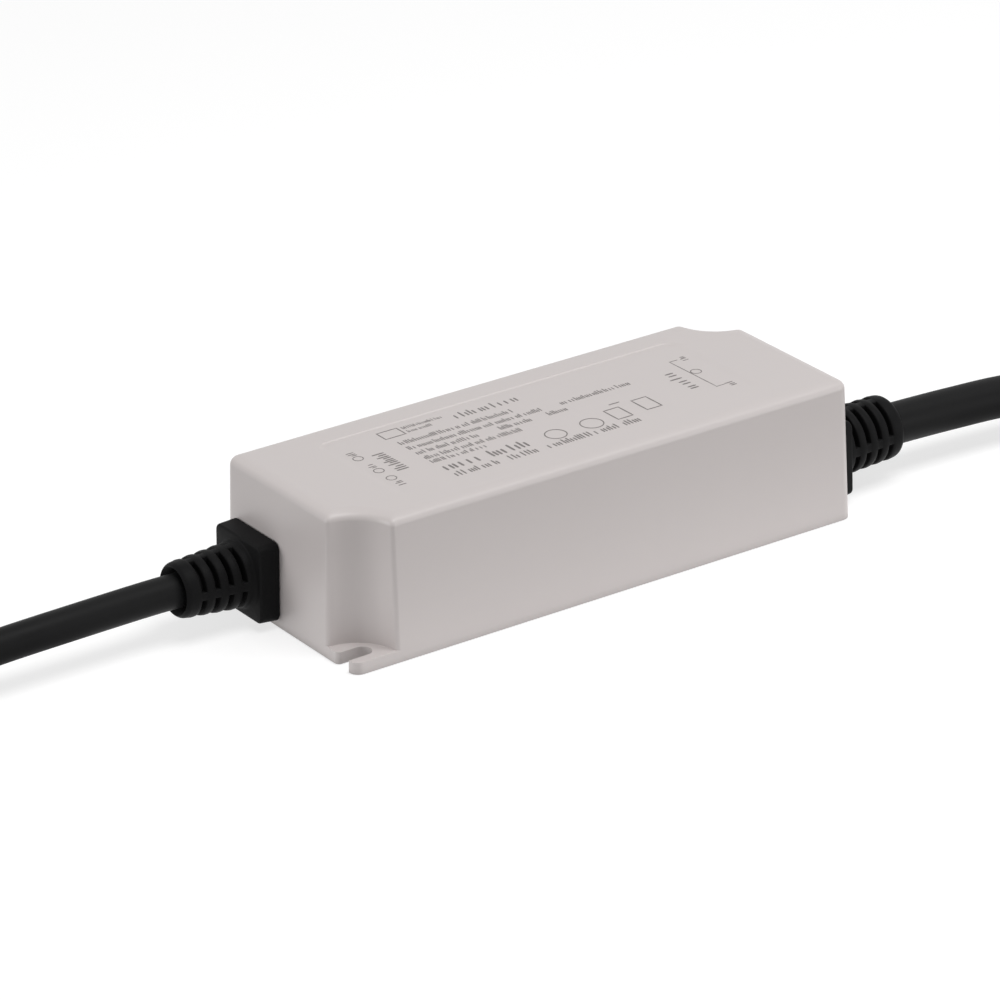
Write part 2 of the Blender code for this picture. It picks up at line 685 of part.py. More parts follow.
def make_lead(workshop, name, frame, landing, sideways, material):
    """A wire from the gland's collar down through its hole in the board."""
    back = -(CASE_WALL + CLEARANCE + GLAND_COLLAR_THICKNESS + CLEARANCE)
    start = point_out(frame, back, sideways)
    inward = math.copysign(1.0, landing)
    foot = Vector((landing, start.y, BOARD_BOTTOM - LEAD_TAIL))
    shoulder = Vector((landing + inward * LEAD_SHOULDER, start.y, start.z - LEAD_DROP))
    knee = Vector((landing, start.y, (start.z + BOARD_TOP) / 2))
    stem = Vector((landing, start.y, STAND))
    path = smooth_route([start, shoulder, knee, stem, foot], LEAD_SHOULDER)
    tube(workshop, name, path, LEAD_RADIUS, material)
    return foot


def pin_row(span, count=2):
    """Pins spread evenly along X about the part's middle."""
    return [(span * (index / (count - 1) - 0.5), 0.0) for index in range(count)]


class Board:
    """The circuit board's parts: each gets pins, holes for them and a pocket in the compound."""

    def __init__(self, workshop):
        self.workshop = workshop
        self.holes = []
        self.pockets = []

    def fitted(self, size):
        """A part's length and width on this board, and its height."""
        length, width, height = size
        return along(length), across(width), height

    def pocket_box(self, name, x, y, length, width, top):
        grow = 2 * CLEARANCE
        bottom = BOARD_TOP - OVERREACH
        size = (length + grow, width + grow, top + CLEARANCE - bottom)
        center = (x, y, (top + CLEARANCE + bottom) / 2)
        label = f"pocket_{name}"
        self.pockets.append(self.workshop.cutter(label, box_mesh(label, size, center)))

    def pocket_round(self, name, x, y, radius, top):
        bottom = BOARD_TOP - OVERREACH
        label = f"pocket_{name}"
        mesh = cylinder_mesh(label, radius + 2 * CLEARANCE, top + CLEARANCE - bottom,
                             (x, y, (top + CLEARANCE + bottom) / 2))
        self.pockets.append(self.workshop.cutter(label, mesh))

    def add_pins(self, item, x, y, offsets, reach):
        """Round pins from inside the part's foot, through the board."""
        bottom = BOARD_BOTTOM - PIN_TAIL
        top = STAND + reach
        bm = bmesh.new()
        for dx, dy in offsets:
            made = bmesh.ops.create_cone(bm, cap_ends=True, segments=PIN_SIDES, depth=(top - bottom) * MM,
                                         radius1=PIN_RADIUS * MM, radius2=PIN_RADIUS * MM)
            place = Vector((x + dx, y + dy, (top + bottom) / 2)) * MM
            bmesh.ops.translate(bm, vec=place, verts=made["verts"])
            self.holes.append((x + dx, y + dy, PIN_RADIUS + CLEARANCE))
        label = f"{item.name}_pins"
        pins = self.workshop.cutter(label, to_mesh(label, bm))
        boolean(item, pins, "UNION")

    def block(self, name, x, y, size, material, pins):
        length, width, height = self.fitted(size)
        mesh = prism_mesh(name, rounded_rectangle(length, width, BLOCK_EDGE), STAND, STAND + height)
        offset_mesh(mesh, x, y)
        item = self.workshop.piece(name, mesh, material)
        self.add_pins(item, x, y, pins, height / 4)
        self.pocket_box(name, x, y, length, width, STAND + height)
        return item

    def can(self, name, x, y, radius, height, material, pins):
        """An upright can with rounded shoulders."""
        radius *= ROUND_UNIT
        shoulder = radius / 8
        profile = [(0.0, STAND + height),
                   *arc(radius - shoulder, STAND + height - shoulder, shoulder, 90, 0, 2),
                   (radius, STAND), (0.0, STAND)]
        item = turned(self.workshop, name, profile, material, steps=CAN_SEGMENTS)
        item.location = Vector((x, y, 0.0)) * MM
        self.add_pins(item, x, y, pins, height / 4)
        self.pocket_round(name, x, y, radius, STAND + height)
        return item

    def disc(self, name, x, y, radius, thickness, material):
        """A coated disc that stands on its edge, on two pins."""
        radius *= ROUND_UNIT
        center = (x, y, STAND + radius)
        item = self.workshop.piece(name, cylinder_mesh(name, radius, thickness, center, "X", 20),
                                   material)
        self.add_pins(item, x, y, [(0.0, -radius / 2), (0.0, radius / 2)], radius)
        self.pocket_box(name, x, y, thickness, 2 * radius, STAND + 2 * radius)
        return item


def offset_mesh(mesh, x, y):
    mesh.transform(Matrix.Translation(Vector((x, y, 0.0)) * MM))


def make_filter_choke(workshop, board, x, y):
    """A ring core with two windings, lying flat."""
    lift = FILTER_WINDING_BUILD + CLEARANCE
    bottom = STAND + lift
    top = bottom + FILTER_CORE_HEIGHT
    bore = FILTER_CORE_BORE * ROUND_UNIT
    rim = FILTER_CORE_RADIUS * ROUND_UNIT
    profile = [(bore, top), (rim, top), (rim, bottom), (bore, bottom)]
    core = turned(workshop, "filter_choke_core", profile, "ferrite", closed=True)
    core.location = Vector((x, y, 0.0)) * MM
    inner_clear = bore - CLEARANCE
    outer_clear = rim + CLEARANCE
    gap = 180.0 - FILTER_WINDING_ARC_DEGREES
    for label, start in (("live", gap / 2), ("neutral", 180 + gap / 2)):
        name = f"filter_choke_winding_{label}"
        outer = bmesh.new()
        add_ring_sector(outer, inner_clear - FILTER_WINDING_BUILD, outer_clear + FILTER_WINDING_BUILD,
                        STAND, top + CLEARANCE + FILTER_WINDING_BUILD, start,
                        FILTER_WINDING_ARC_DEGREES, 10)
        winding = workshop.piece(name, to_mesh(name, outer), "enamelled_copper")
        winding.location = core.location
        room = bmesh.new()
        add_ring_sector(room, inner_clear, outer_clear, bottom - CLEARANCE, top + CLEARANCE,
                        start - gap / 4, FILTER_WINDING_ARC_DEGREES + gap / 2, 12)
        cutter = workshop.cutter(f"{name}_room", to_mesh(f"{name}_room", room))
        cutter.location = core.location
        boolean(winding, cutter, "DIFFERENCE")
        reach = outer_clear + FILTER_WINDING_BUILD / 2
        first = start + FILTER_PIN_INSET_DEGREES
        last = start + FILTER_WINDING_ARC_DEGREES - FILTER_PIN_INSET_DEGREES
        board.add_pins(winding, x, y, arc(0, 0, reach, first, last, 1), FILTER_WINDING_BUILD)
    board.pocket_round("filter_choke", x, y, outer_clear + FILTER_WINDING_BUILD + CLEARANCE,
                       top + CLEARANCE + FILTER_WINDING_BUILD)


def make_wound_core(workshop, board, name, place, size, pin_rows):
    """A ferrite double E core, its bobbin on the middle leg and the winding round the bobbin."""
    x = along(place[0])
    y = across(place[1])
    length, width, height = board.fitted(size)
    leg = width * CORE_LEG
    side_leg = leg / 2
    yoke = leg / 2
    window = (width - leg) / 2 - side_leg
    opening = length - 2 * yoke
    coil_half = leg / 2 + CLEARANCE + BOBBIN_WALL + CLEARANCE
    build = window - 3 * CLEARANCE - BOBBIN_WALL
    level = STAND + BOBBIN_WALL + build + CLEARANCE + height / 2
    block = box_mesh(f"{name}_core", (length, width, height), (x, y, level))
    core = workshop.piece(f"{name}_core", block, "ferrite")
    for side in (1, -1):
        label = f"{name}_window_{face_name(side)}"
        center = (x, y + side * (leg + window) / 2, level)
        hole = box_mesh(label, (opening, window, 2 * height), center)
        boolean(core, workshop.cutter(label, hole), "DIFFERENCE")

    # Bobbin: a sleeve with an end plate at each yoke, whose feet carry the pins
    sleeve_width = leg + 2 * CLEARANCE + 2 * BOBBIN_WALL
    sleeve_height = height + 2 * CLEARANCE + 2 * BOBBIN_WALL
    sleeve_length = opening - 2 * CLEARANCE
    bobbin = workshop.piece(f"{name}_bobbin", box_mesh(f"{name}_bobbin",
                                                       (sleeve_length, sleeve_width, sleeve_height),
                                                       (x, y, level)), "component_black")
    plate_width = leg + 2 * window - 2 * CLEARANCE
    plate_top = level + height / 2 + BOBBIN_WALL + build
    plate_height = plate_top - STAND
    for side in (1, -1):
        label = f"{name}_plate_{end_name(side)}"
        plate_x = x + side * (sleeve_length - BOBBIN_WALL) / 2
        plate = box_mesh(label, (BOBBIN_WALL, plate_width, plate_height),
                         (plate_x, y, STAND + plate_height / 2))
        boolean(bobbin, workshop.cutter(label, plate), "UNION")
    leg_room = box_mesh(f"{name}_leg_room", (2 * length, leg + 2 * CLEARANCE, height + 2 * CLEARANCE),
                        (x, y, level))
    boolean(bobbin, workshop.cutter(f"{name}_leg_room", leg_room), "DIFFERENCE")
    pin_x = (sleeve_length - BOBBIN_WALL) / 2
    rows = pin_row(plate_width - 2 * BOBBIN_PIN_INSET, pin_rows)
    pins = [(side * pin_x, step) for side in (1, -1) for step, _ in rows]
    board.add_pins(bobbin, x, y, pins, BOBBIN_WALL)

    # Winding between the bobbin's end plates
    winding_length = sleeve_length - 2 * BOBBIN_WALL - 2 * CLEARANCE
    inner_height = sleeve_height + 2 * CLEARANCE
    outer = box_mesh(f"{name}_winding", (winding_length, 2 * (coil_half + build), inner_height + 2 * build
                                         - 2 * BOBBIN_WALL), (x, y, level))
    winding = workshop.piece(f"{name}_winding", outer, "winding_tape")
    inner = box_mesh(f"{name}_winding_bore", (2 * length, 2 * coil_half, inner_height), (x, y, level))
    boolean(winding, workshop.cutter(f"{name}_winding_bore", inner), "DIFFERENCE")
    board.pocket_box(name, x, y, length, width, plate_top)


def make_heatsink_pair(workshop, board, sink_name, device_name, x, sink_size):
    """An aluminium angle at the board's rear edge and the device that is clamped to its face."""
    length = along(sink_size[0])
    height = sink_size[1]
    back = BOARD_HALF_WIDTH - EDGE_MARGIN
    front = back - HEATSINK_THICKNESS
    foot_front = front - HEATSINK_FOOT
    profile = [(back, STAND), (back, STAND + height), (front, STAND + height),
               (front, STAND + HEATSINK_THICKNESS), (foot_front, STAND + HEATSINK_THICKNESS),
               (foot_front, STAND)]
    mesh = prism_mesh(sink_name, profile, -length / 2, length / 2)
    mesh.transform(Matrix(((0, 0, 1, x * MM), (1, 0, 0, 0), (0, 1, 0, 0), (0, 0, 0, 1))))
    sink = workshop.piece(sink_name, mesh, "heatsink_aluminium")
    board.add_pins(sink, x, front, pin_row(length - 2 * HEATSINK_PIN_INSET), HEATSINK_THICKNESS / 2)

    # The device hangs clear above the angle's foot and stands on three pins before it
    body_length = along(TRANSISTOR_SIZE[0])
    body_depth = TRANSISTOR_SIZE[1]
    body_height = TRANSISTOR_SIZE[2]
    device_y = front - CLEARANCE - body_depth / 2
    lift = STAND + HEATSINK_THICKNESS + CLEARANCE
    body = box_mesh(device_name, (body_length, body_depth, body_height),
                    (x, device_y, lift + body_height / 2))
    device = workshop.piece(device_name, body, "component_black")
    leg_y = foot_front - CLEARANCE - PIN_RADIUS
    board.add_pins(device, x, leg_y, pin_row(2 * TRANSISTOR_PITCH, 3), lift - STAND + body_height / 4)
    pocket_front = device_y - body_depth / 2
    board.pocket_box(sink_name, x, (back + pocket_front) / 2, length, back - pocket_front,
                     max(STAND + height, lift + body_height))


def make_board_parts(workshop, board):
    row_x = INPUT_LANDING + along(FIRST_ROW_OFFSET)
    filter_x = INPUT_LANDING + along(FILTER_OFFSET)
    board.can("input_fuse", row_x, across(FUSE_Y), FUSE_RADIUS, FUSE_HEIGHT, "component_black",
              pin_row(FUSE_PIN_SPAN))
    board.disc("surge_varistor", row_x, across(VARISTOR_Y), VARISTOR_RADIUS, VARISTOR_THICKNESS,
               "component_blue")
    board.disc("inrush_thermistor", row_x, across(THERMISTOR_Y), THERMISTOR_RADIUS,
               THERMISTOR_THICKNESS, "component_green")
    board.block("filter_capacitor", filter_x, across(FILTER_CAPACITOR_Y), FILTER_CAPACITOR_SIZE,
                "component_yellow", pin_row(along(FILTER_CAPACITOR_PIN_SPAN)))
    make_filter_choke(workshop, board, filter_x, across(FILTER_CHOKE_Y))

    edge = BOARD_HALF_WIDTH - EDGE_MARGIN
    board.block("bridge_rectifier", along(BRIDGE_X), edge - across(BRIDGE_SIZE[1]) / 2,
                BRIDGE_SIZE, "component_black", pin_row(along(BRIDGE_PIN_SPAN), 4))
    make_wound_core(workshop, board, "boost_choke", BOOST_PLACE, BOOST_SIZE, 2)
    board.can("bulk_capacitor", along(BULK_X), BULK_RADIUS * ROUND_UNIT - edge, BULK_RADIUS,
              BULK_HEIGHT, "capacitor_sleeve", pin_row(BULK_PIN_SPAN))
    make_wound_core(workshop, board, "transformer", TRANSFORMER_PLACE, TRANSFORMER_SIZE, 3)
    make_heatsink_pair(workshop, board, "switch_heatsink", "switch_transistor",
                       along(SWITCH_X), SWITCH_HEATSINK_SIZE)
    span_x = along(OPTOCOUPLER_PIN_SPANS[0])
    span_y = across(OPTOCOUPLER_PIN_SPANS[1])
    opto_pins = [(x, y) for x, _ in pin_row(span_x) for y, _ in pin_row(span_y)]
    board.block("optocoupler", along(OPTOCOUPLER_PLACE[0]), across(OPTOCOUPLER_PLACE[1]),
                OPTOCOUPLER_SIZE, "component_black", opto_pins)
    board.block("control_chip", along(CONTROL_CHIP_PLACE[0]), across(CONTROL_CHIP_PLACE[1]),
                CONTROL_CHIP_SIZE, "component_black", pin_row(along(CONTROL_CHIP_PIN_SPAN)))

    last_x = OUTPUT_LANDING - along(FIRST_ROW_OFFSET)
    for index, y in enumerate(OUTPUT_CAPACITOR_YS):
        board.can(f"output_capacitor_{index + 1}", OUTPUT_LANDING - along(OUTPUT_CAPACITOR_OFFSET),
                  across(y), OUTPUT_CAPACITOR_RADIUS, OUTPUT_CAPACITOR_HEIGHT, "capacitor_sleeve",
                  pin_row(OUTPUT_CAPACITOR_PIN_SPAN))
    board.can("output_choke", last_x, across(OUTPUT_CHOKE_Y), OUTPUT_CHOKE_RADIUS,
              OUTPUT_CHOKE_HEIGHT, "ferrite", pin_row(OUTPUT_CHOKE_PIN_SPAN))
    board.disc("safety_capacitor", last_x, across(SAFETY_CAPACITOR_Y), SAFETY_CAPACITOR_RADIUS,
               SAFETY_CAPACITOR_THICKNESS, "component_blue")
    make_heatsink_pair(workshop, board, "rectifier_heatsink", "output_rectifier",
                       OUTPUT_LANDING - along(RECTIFIER_OFFSET), RECTIFIER_HEATSINK_SIZE)


def make_leads(workshop, board, frames):
    wiring = {
        "input": (INPUT_LANDING, (("live_lead", "insulation_brown"), ("earth_lead",
                  "insulation_green_yellow"), ("neutral_lead", "insulation_blue"))),
        "output": (OUTPUT_LANDING, (("positive_lead", "insulation_red"),
                                    ("negative_lead", "insulation_black"))),
    }
    for label, (landing, leads) in wiring.items():
        frame = frames[label]
        for index, (name, material) in enumerate(leads):
            sideways = (index - (len(leads) - 1) / 2) * LEAD_SPACING
            foot = make_lead(workshop, name, frame, landing, sideways, material)
            board.holes.append((foot.x, foot.y, LEAD_RADIUS + CLEARANCE))
        start = point_out(frame, 0.0)
        side = math.copysign(1.0, landing)
        width = LEAD_SPACING * (len(leads) - 1) + 2 * LEAD_RADIUS + 2 * CLEARANCE
        far = landing - side * 2 * LEAD_RADIUS
        near = side * (END_WALL + CASE_WALL)
        board.pocket_box(f"{label}_leads", (far + near) / 2, start.y, abs(near - far), width,
                         start.z + LEAD_RADIUS + CLEARANCE)


def make_board(workshop, board):
    """The laminate, with the case's scallops cut out of two corners and a hole for every pin."""
    outline = rounded_rectangle(2 * BOARD_HALF_LENGTH, 2 * BOARD_HALF_WIDTH, INNER_CORNER_RADIUS)
    mesh = prism_mesh("circuit_board", outline, BOARD_BOTTOM, BOARD_TOP)
    laminate = workshop.piece("circuit_board", mesh, "board_laminate")
    for side in (-1, 1):
        label = f"board_notch_{end_name(side)}"
        notch = cylinder_mesh(label, NOTCH_RADIUS + CASE_WALL + BOARD_SIDE_GAP, 4 * BOARD_THICKNESS,
                              (side * HALF_LENGTH, side * HALF_WIDTH, BOARD_TOP), sides=48)
        boolean(laminate, workshop.cutter(label, notch), "DIFFERENCE")
    bm = bmesh.new()
    for x, y, radius in board.holes:
        reach = HOLE_CORNER * radius * MM
        made = bmesh.ops.create_cone(bm, cap_ends=True, segments=PIN_SIDES, depth=4 * BOARD_THICKNESS * MM,
                                     radius1=reach, radius2=reach)
        place = Vector((x, y, BOARD_TOP)) * MM
        bmesh.ops.translate(bm, vec=place, verts=made["verts"])
    boolean(laminate, workshop.cutter("board_holes", to_mesh("board_holes", bm)), "DIFFERENCE")


def make_compound(workshop, board, frames):
    """The cast compound above the board, with a pocket left by everything that it surrounds."""
    bottom = STAND
    top = CEILING - CLEARANCE
    inset = CASE_WALL + CLEARANCE
    outline = scalloped_outline(inset + bottom * DRAFT, INNER_CORNER_RADIUS)
    mesh = prism_mesh("potting_compound", outline, bottom, top, draft=(top - bottom) * DRAFT)
    compound = workshop.piece("potting_compound", mesh, "compound")
    for rib in make_rib_boxes(workshop, "rib_room", CLEARANCE):
        boolean(compound, rib, "DIFFERENCE")
    for label, frame in frames.items():
        name = f"{label}_collar_room"
        grow = 2 * CLEARANCE
        outline = rounded_rectangle(GLAND_COLLAR_WIDTH + grow, GLAND_COLLAR_HEIGHT + grow,
                                    GLAND_FLANGE_RADIUS)
        back = -(CASE_WALL + CLEARANCE + GLAND_COLLAR_THICKNESS + CLEARANCE)
        room = workshop.cutter(name, prism_mesh(name, outline, back, CASE_WALL))
        room.matrix_world = frame
        boolean(compound, room, "DIFFERENCE")
    for pocket in board.pockets:
        boolean(compound, pocket, "DIFFERENCE")


def main():
    clear_scene()
    workshop = Workshop()
    make_finishes(workshop)
    frames = {"input": wall_frame(-1, INPUT_GLAND_Y), "output": wall_frame(1, OUTPUT_GLAND_Y)}
    make_case(workshop, frames)
    make_cover(workshop)
    make_gland(workshop, "input_gland", frames["input"], INPUT_BOOT_ROOT_RADIUS,
               INPUT_BOOT_TIP_RADIUS, INPUT_CABLE_RADIUS)
    make_gland(workshop, "output_gland", frames["output"], OUTPUT_BOOT_ROOT_RADIUS,
               OUTPUT_BOOT_TIP_RADIUS, OUTPUT_CABLE_RADIUS)
    make_cable(workshop, "input_cable", -1, frames["input"], INPUT_CABLE_ROUTE, INPUT_CABLE_RADIUS,
               (("live_core", "insulation_brown"), ("earth_core", "insulation_green_yellow"),
                ("neutral_core", "insulation_blue")))
    make_cable(workshop, "output_cable", 1, frames["output"], OUTPUT_CABLE_ROUTE, OUTPUT_CABLE_RADIUS,
               (("positive_core", "insulation_red"), ("negative_core", "insulation_black")))
    board = Board(workshop)
    make_board_parts(workshop, board)
    make_leads(workshop, board, frames)
    make_board(workshop, board)
    make_compound(workshop, board, frames)
    bpy.context.view_layer.update()


main()
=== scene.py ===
"""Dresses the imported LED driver: moulded case, printed roof, slotted glands, cables and a studio stage.

The script is laid out as an add-on and is run as a script. Every size is in metres, in the frame
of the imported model: +X towards the output cable, +Z up out of the printed roof.
"""
import json
import random
from math import atan2, cos, pi, radians, sin, sqrt, tan

import bmesh
import bpy
from bpy.props import FloatProperty, FloatVectorProperty, IntProperty, PointerProperty
from mathutils import Matrix, Vector


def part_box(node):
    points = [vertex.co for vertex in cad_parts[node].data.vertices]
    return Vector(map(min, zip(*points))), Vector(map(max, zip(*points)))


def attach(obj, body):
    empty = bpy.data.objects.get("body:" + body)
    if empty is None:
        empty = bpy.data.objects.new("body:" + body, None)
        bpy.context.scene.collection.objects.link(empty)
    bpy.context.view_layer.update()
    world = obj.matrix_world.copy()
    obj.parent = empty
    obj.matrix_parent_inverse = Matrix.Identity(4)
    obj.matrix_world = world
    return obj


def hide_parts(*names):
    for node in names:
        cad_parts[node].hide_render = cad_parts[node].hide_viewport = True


bl_info = {
    "name": "LED driver dresser",
    "version": (1, 0, 0),
    "blender": (4, 5, 0),
    "location": "3D View > Sidebar > Driver",
    "description": "Builds the visible pieces of a potted LED driver round its packed model",
    "category": "Object",
}

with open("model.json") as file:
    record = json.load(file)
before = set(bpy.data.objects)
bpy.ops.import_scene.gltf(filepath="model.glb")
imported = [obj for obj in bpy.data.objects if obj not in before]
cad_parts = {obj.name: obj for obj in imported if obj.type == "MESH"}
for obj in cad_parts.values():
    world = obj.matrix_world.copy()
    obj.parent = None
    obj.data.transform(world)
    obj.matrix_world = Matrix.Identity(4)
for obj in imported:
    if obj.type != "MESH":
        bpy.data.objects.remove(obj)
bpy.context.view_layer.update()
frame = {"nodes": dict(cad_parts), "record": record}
CASE_LOW, CASE_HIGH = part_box("case_shell")
MM = 0.001
NODE_STEP = 200
PRINT_CORNER = 0.2
LEAST_DROP = 0.1

# Small sizes that no setting needs, in metres
LEAST_CORNER = 0.0002
PANEL_CORNER = 0.003
PRINT_THICKNESS = 0.00003
FLANGE_TAPER = 0.0003
BOOT_FILLET = 0.0009
WINDOW_EDGE = 0.0003
WINDOW_BULGE = 0.00012
WINDOW_FLOOR = 0.0011
MOUTH_GAP = 0.0003
JACKET_WALL = 0.0012
CUT_ROUND = 0.0002
CORE_GAP = 0.0003
CORE_BEND = 0.0015
CORE_SPREAD = 0.005
TIP_OVERLAP = 0.00015

# The bounce lamps lie one step under the object and the floor two, so that neither touches it
FLOOR_STEP = 0.0001

# Where each cable runs after the gland's mouth: out from the case's end, aside, above the floor
INPUT_ROUTE = [
    (0.031, 0.0, 0.0129),
    (0.049, 0.0, 0.0127),
    (0.071, 0.0001, 0.0122),
    (0.091, 0.0011, 0.0106),
    (0.111, 0.0033, 0.0076),
    (0.131, 0.0061, 0.0052),
    (0.153, 0.0079, 0.00455),
    (0.179, 0.0069, 0.0045),
    (0.201, 0.0039, 0.0045),
    (0.221, 0.0003, 0.0045),
]
OUTPUT_ROUTE = [
    (0.031, 0.0, 0.0129),
    (0.045, -0.0005, 0.01255),
    (0.061, -0.0015, 0.012),
    (0.081, -0.0035, 0.0101),
    (0.101, -0.0063, 0.0077),
    (0.123, -0.0088, 0.0061),
    (0.149, -0.0094, 0.00565),
    (0.177, -0.0075, 0.00565),
    (0.201, -0.0044, 0.00565),
    (0.221, -0.0009, 0.00565),
]

# A run of print is a row of plain strokes. Their width, steps and short height are shares of its height.
STROKE_WIDTH = 0.155
STROKE_STEPS = (0.27, 0.27, 0.33, 0.33, 0.42, 0.6)
SHORT_STROKE = 0.68
TALL_SHARE = 0.35

# What stands on the roof in print: middle x, middle y, length, height and turn of each run, in mm
PRINT_RUNS = [
    (-25.1, 15.25, 11.8, 1.5, 0),
    (-27.3, 12.85, 7.4, 1.5, 0),
    (-13.65, 13.45, 6.3, 3.2, 0),
    (-3.5, 13.45, 12.0, 3.2, 0),
    (-20.0, 7.8, 33.6, 2.2, 0),
    (-17.0, 4.15, 39.6, 2.2, 0),
    (19.0, 4.15, 21.0, 2.2, 0),
    (-27.5, 0.6, 18.6, 2.2, 0),
    (-7.35, 0.6, 9.7, 2.2, 0),
    (5.1, 0.6, 5.8, 2.2, 0),
    (-22.4, -3.0, 28.8, 2.2, 0),
    (-32.9, -5.9, 7.8, 2.0, 0),
    (-24.25, -5.9, 7.5, 2.0, 0),
    (-31.25, -10.65, 10.5, 4.0, 0),
    (-16.4, -10.65, 13.2, 4.0, 0),
    (-29.5, -15.5, 14.0, 2.8, 0),
    (-15.75, -15.5, 9.5, 2.8, 0),
    (-2.0, -15.5, 14.4, 2.8, 0),
    (9.4, -15.5, 5.2, 2.8, 0),
    (16.65, -15.5, 6.3, 2.8, 0),
    (-44.5, 0.25, 11.5, 3.4, 90),
    (40.2, -2.35, 12.3, 3.6, 90),
    (-49.7, 9.7, 2.6, 2.2, 90),
    (-49.7, 0.6, 2.2, 2.0, 90),
    (-49.7, -11.6, 2.6, 2.2, 90),
    (49.6, 8.6, 2.8, 1.8, 90),
    (49.3, -11.4, 2.8, 2.4, 90),
]

# Printed rings: middle x, middle y, outer radius and line width, in mm
PRINT_RINGS = [
    (-3.3, -10.7, 2.9, 0.3),
    (7.5, -10.7, 3.1, 0.3),
    (-49.7, 6.4, 1.4, 0.25),
    (-49.7, -2.6, 1.4, 0.25),
    (-49.7, -8.0, 1.4, 0.25),
    (47.2, -0.2, 1.5, 0.25),
]

# Printed bars: middle x, middle y, length and width, in mm
PRINT_BARS = [
    (45.5, -1.2, 0.25, 20.0),
    (46.75, 8.6, 2.5, 0.25),
    (46.75, -11.0, 2.5, 0.25),
    (19.0, -4.1, 3.2, 0.4),
]

# Printed outlines of rectangles: middle x, middle y, length, width and line width, in mm
PRINT_FRAMES = [
    (-35.0, 14.0, 6.2, 4.6, 0.35),
    (16.3, -9.6, 4.8, 6.6, 0.35),
    (25.5, -8.8, 4.8, 7.2, 0.35),
]

# Soft boxes: name, the setting that holds its watts, and place
SOFT_BOXES = (
    ("overhead", "key_power", (0.0, -0.35, 1.15)),
    ("left_box", "left_power", (-1.103, 0.402, 0.27)),
    ("front_box", "front_power", (0.755, -0.899, 0.27)),
    ("right_box", "right_power", (0.488, -0.282, 1.08)),
)
SOFT_BOX_SIDE = 0.55
LAMP_TARGET = (0.0, 0.0, 0.02)
WHITE = (1.0, 1.0, 1.0, 1.0)

# Where the photograph was taken from: place, then angles in radians
CAMERA_PLACE = (-0.69129, -0.98418, 0.56531)
CAMERA_YAW = 0.6036
CAMERA_PITCH = -0.4291
CAMERA_ROLL = -0.0176

# Colours of the CAD nodes' material slots that carry no finish of their own below
INNER_FINISHES = {
    "cover_plastic": ((0.56, 0.53, 0.52), 0.5, 0.0),
    "compound": ((0.035, 0.035, 0.038), 0.45, 0.0),
    "board_laminate": ((0.03, 0.16, 0.06), 0.35, 0.0),
    "component_black": ((0.02, 0.02, 0.021), 0.5, 0.0),
    "component_blue": ((0.02, 0.11, 0.38), 0.3, 0.0),
    "component_green": ((0.06, 0.22, 0.1), 0.3, 0.0),
    "component_yellow": ((0.66, 0.48, 0.06), 0.4, 0.0),
    "ferrite": ((0.05, 0.05, 0.052), 0.6, 0.0),
    "enamelled_copper": ((0.55, 0.2, 0.06), 0.3, 1.0),
    "winding_tape": ((0.72, 0.55, 0.1), 0.4, 0.0),
    "capacitor_sleeve": ((0.03, 0.03, 0.06), 0.3, 0.0),
    "heatsink_aluminium": ((0.7, 0.71, 0.72), 0.35, 1.0),
    "insulation_brown": ((0.13, 0.045, 0.02), 0.35, 0.0),
    "insulation_blue": ((0.02, 0.09, 0.4), 0.35, 0.0),
    "insulation_green_yellow": ((0.05, 0.3, 0.06), 0.35, 0.0),
    "insulation_red": ((0.45, 0.02, 0.015), 0.35, 0.0),
    "insulation_black": ((0.018, 0.018, 0.018), 0.35, 0.0),
}


def distance(name, description, default):
    return FloatProperty(name=name, description=description, default=default, min=0.0,
                         subtype="DISTANCE", unit="LENGTH")


def angle_property(name, description, degrees):
    return FloatProperty(name=name, description=description, default=radians(degrees),
                         subtype="ANGLE", unit="ROTATION")


def level_property(name, description, default):
    return FloatProperty(name=name, description=description, default=default, min=0.0)


def color_property(name, description, default):
    return FloatVectorProperty(name=name, description=description, default=default, size=3,
                               min=0.0, max=1.0, subtype="COLOR")


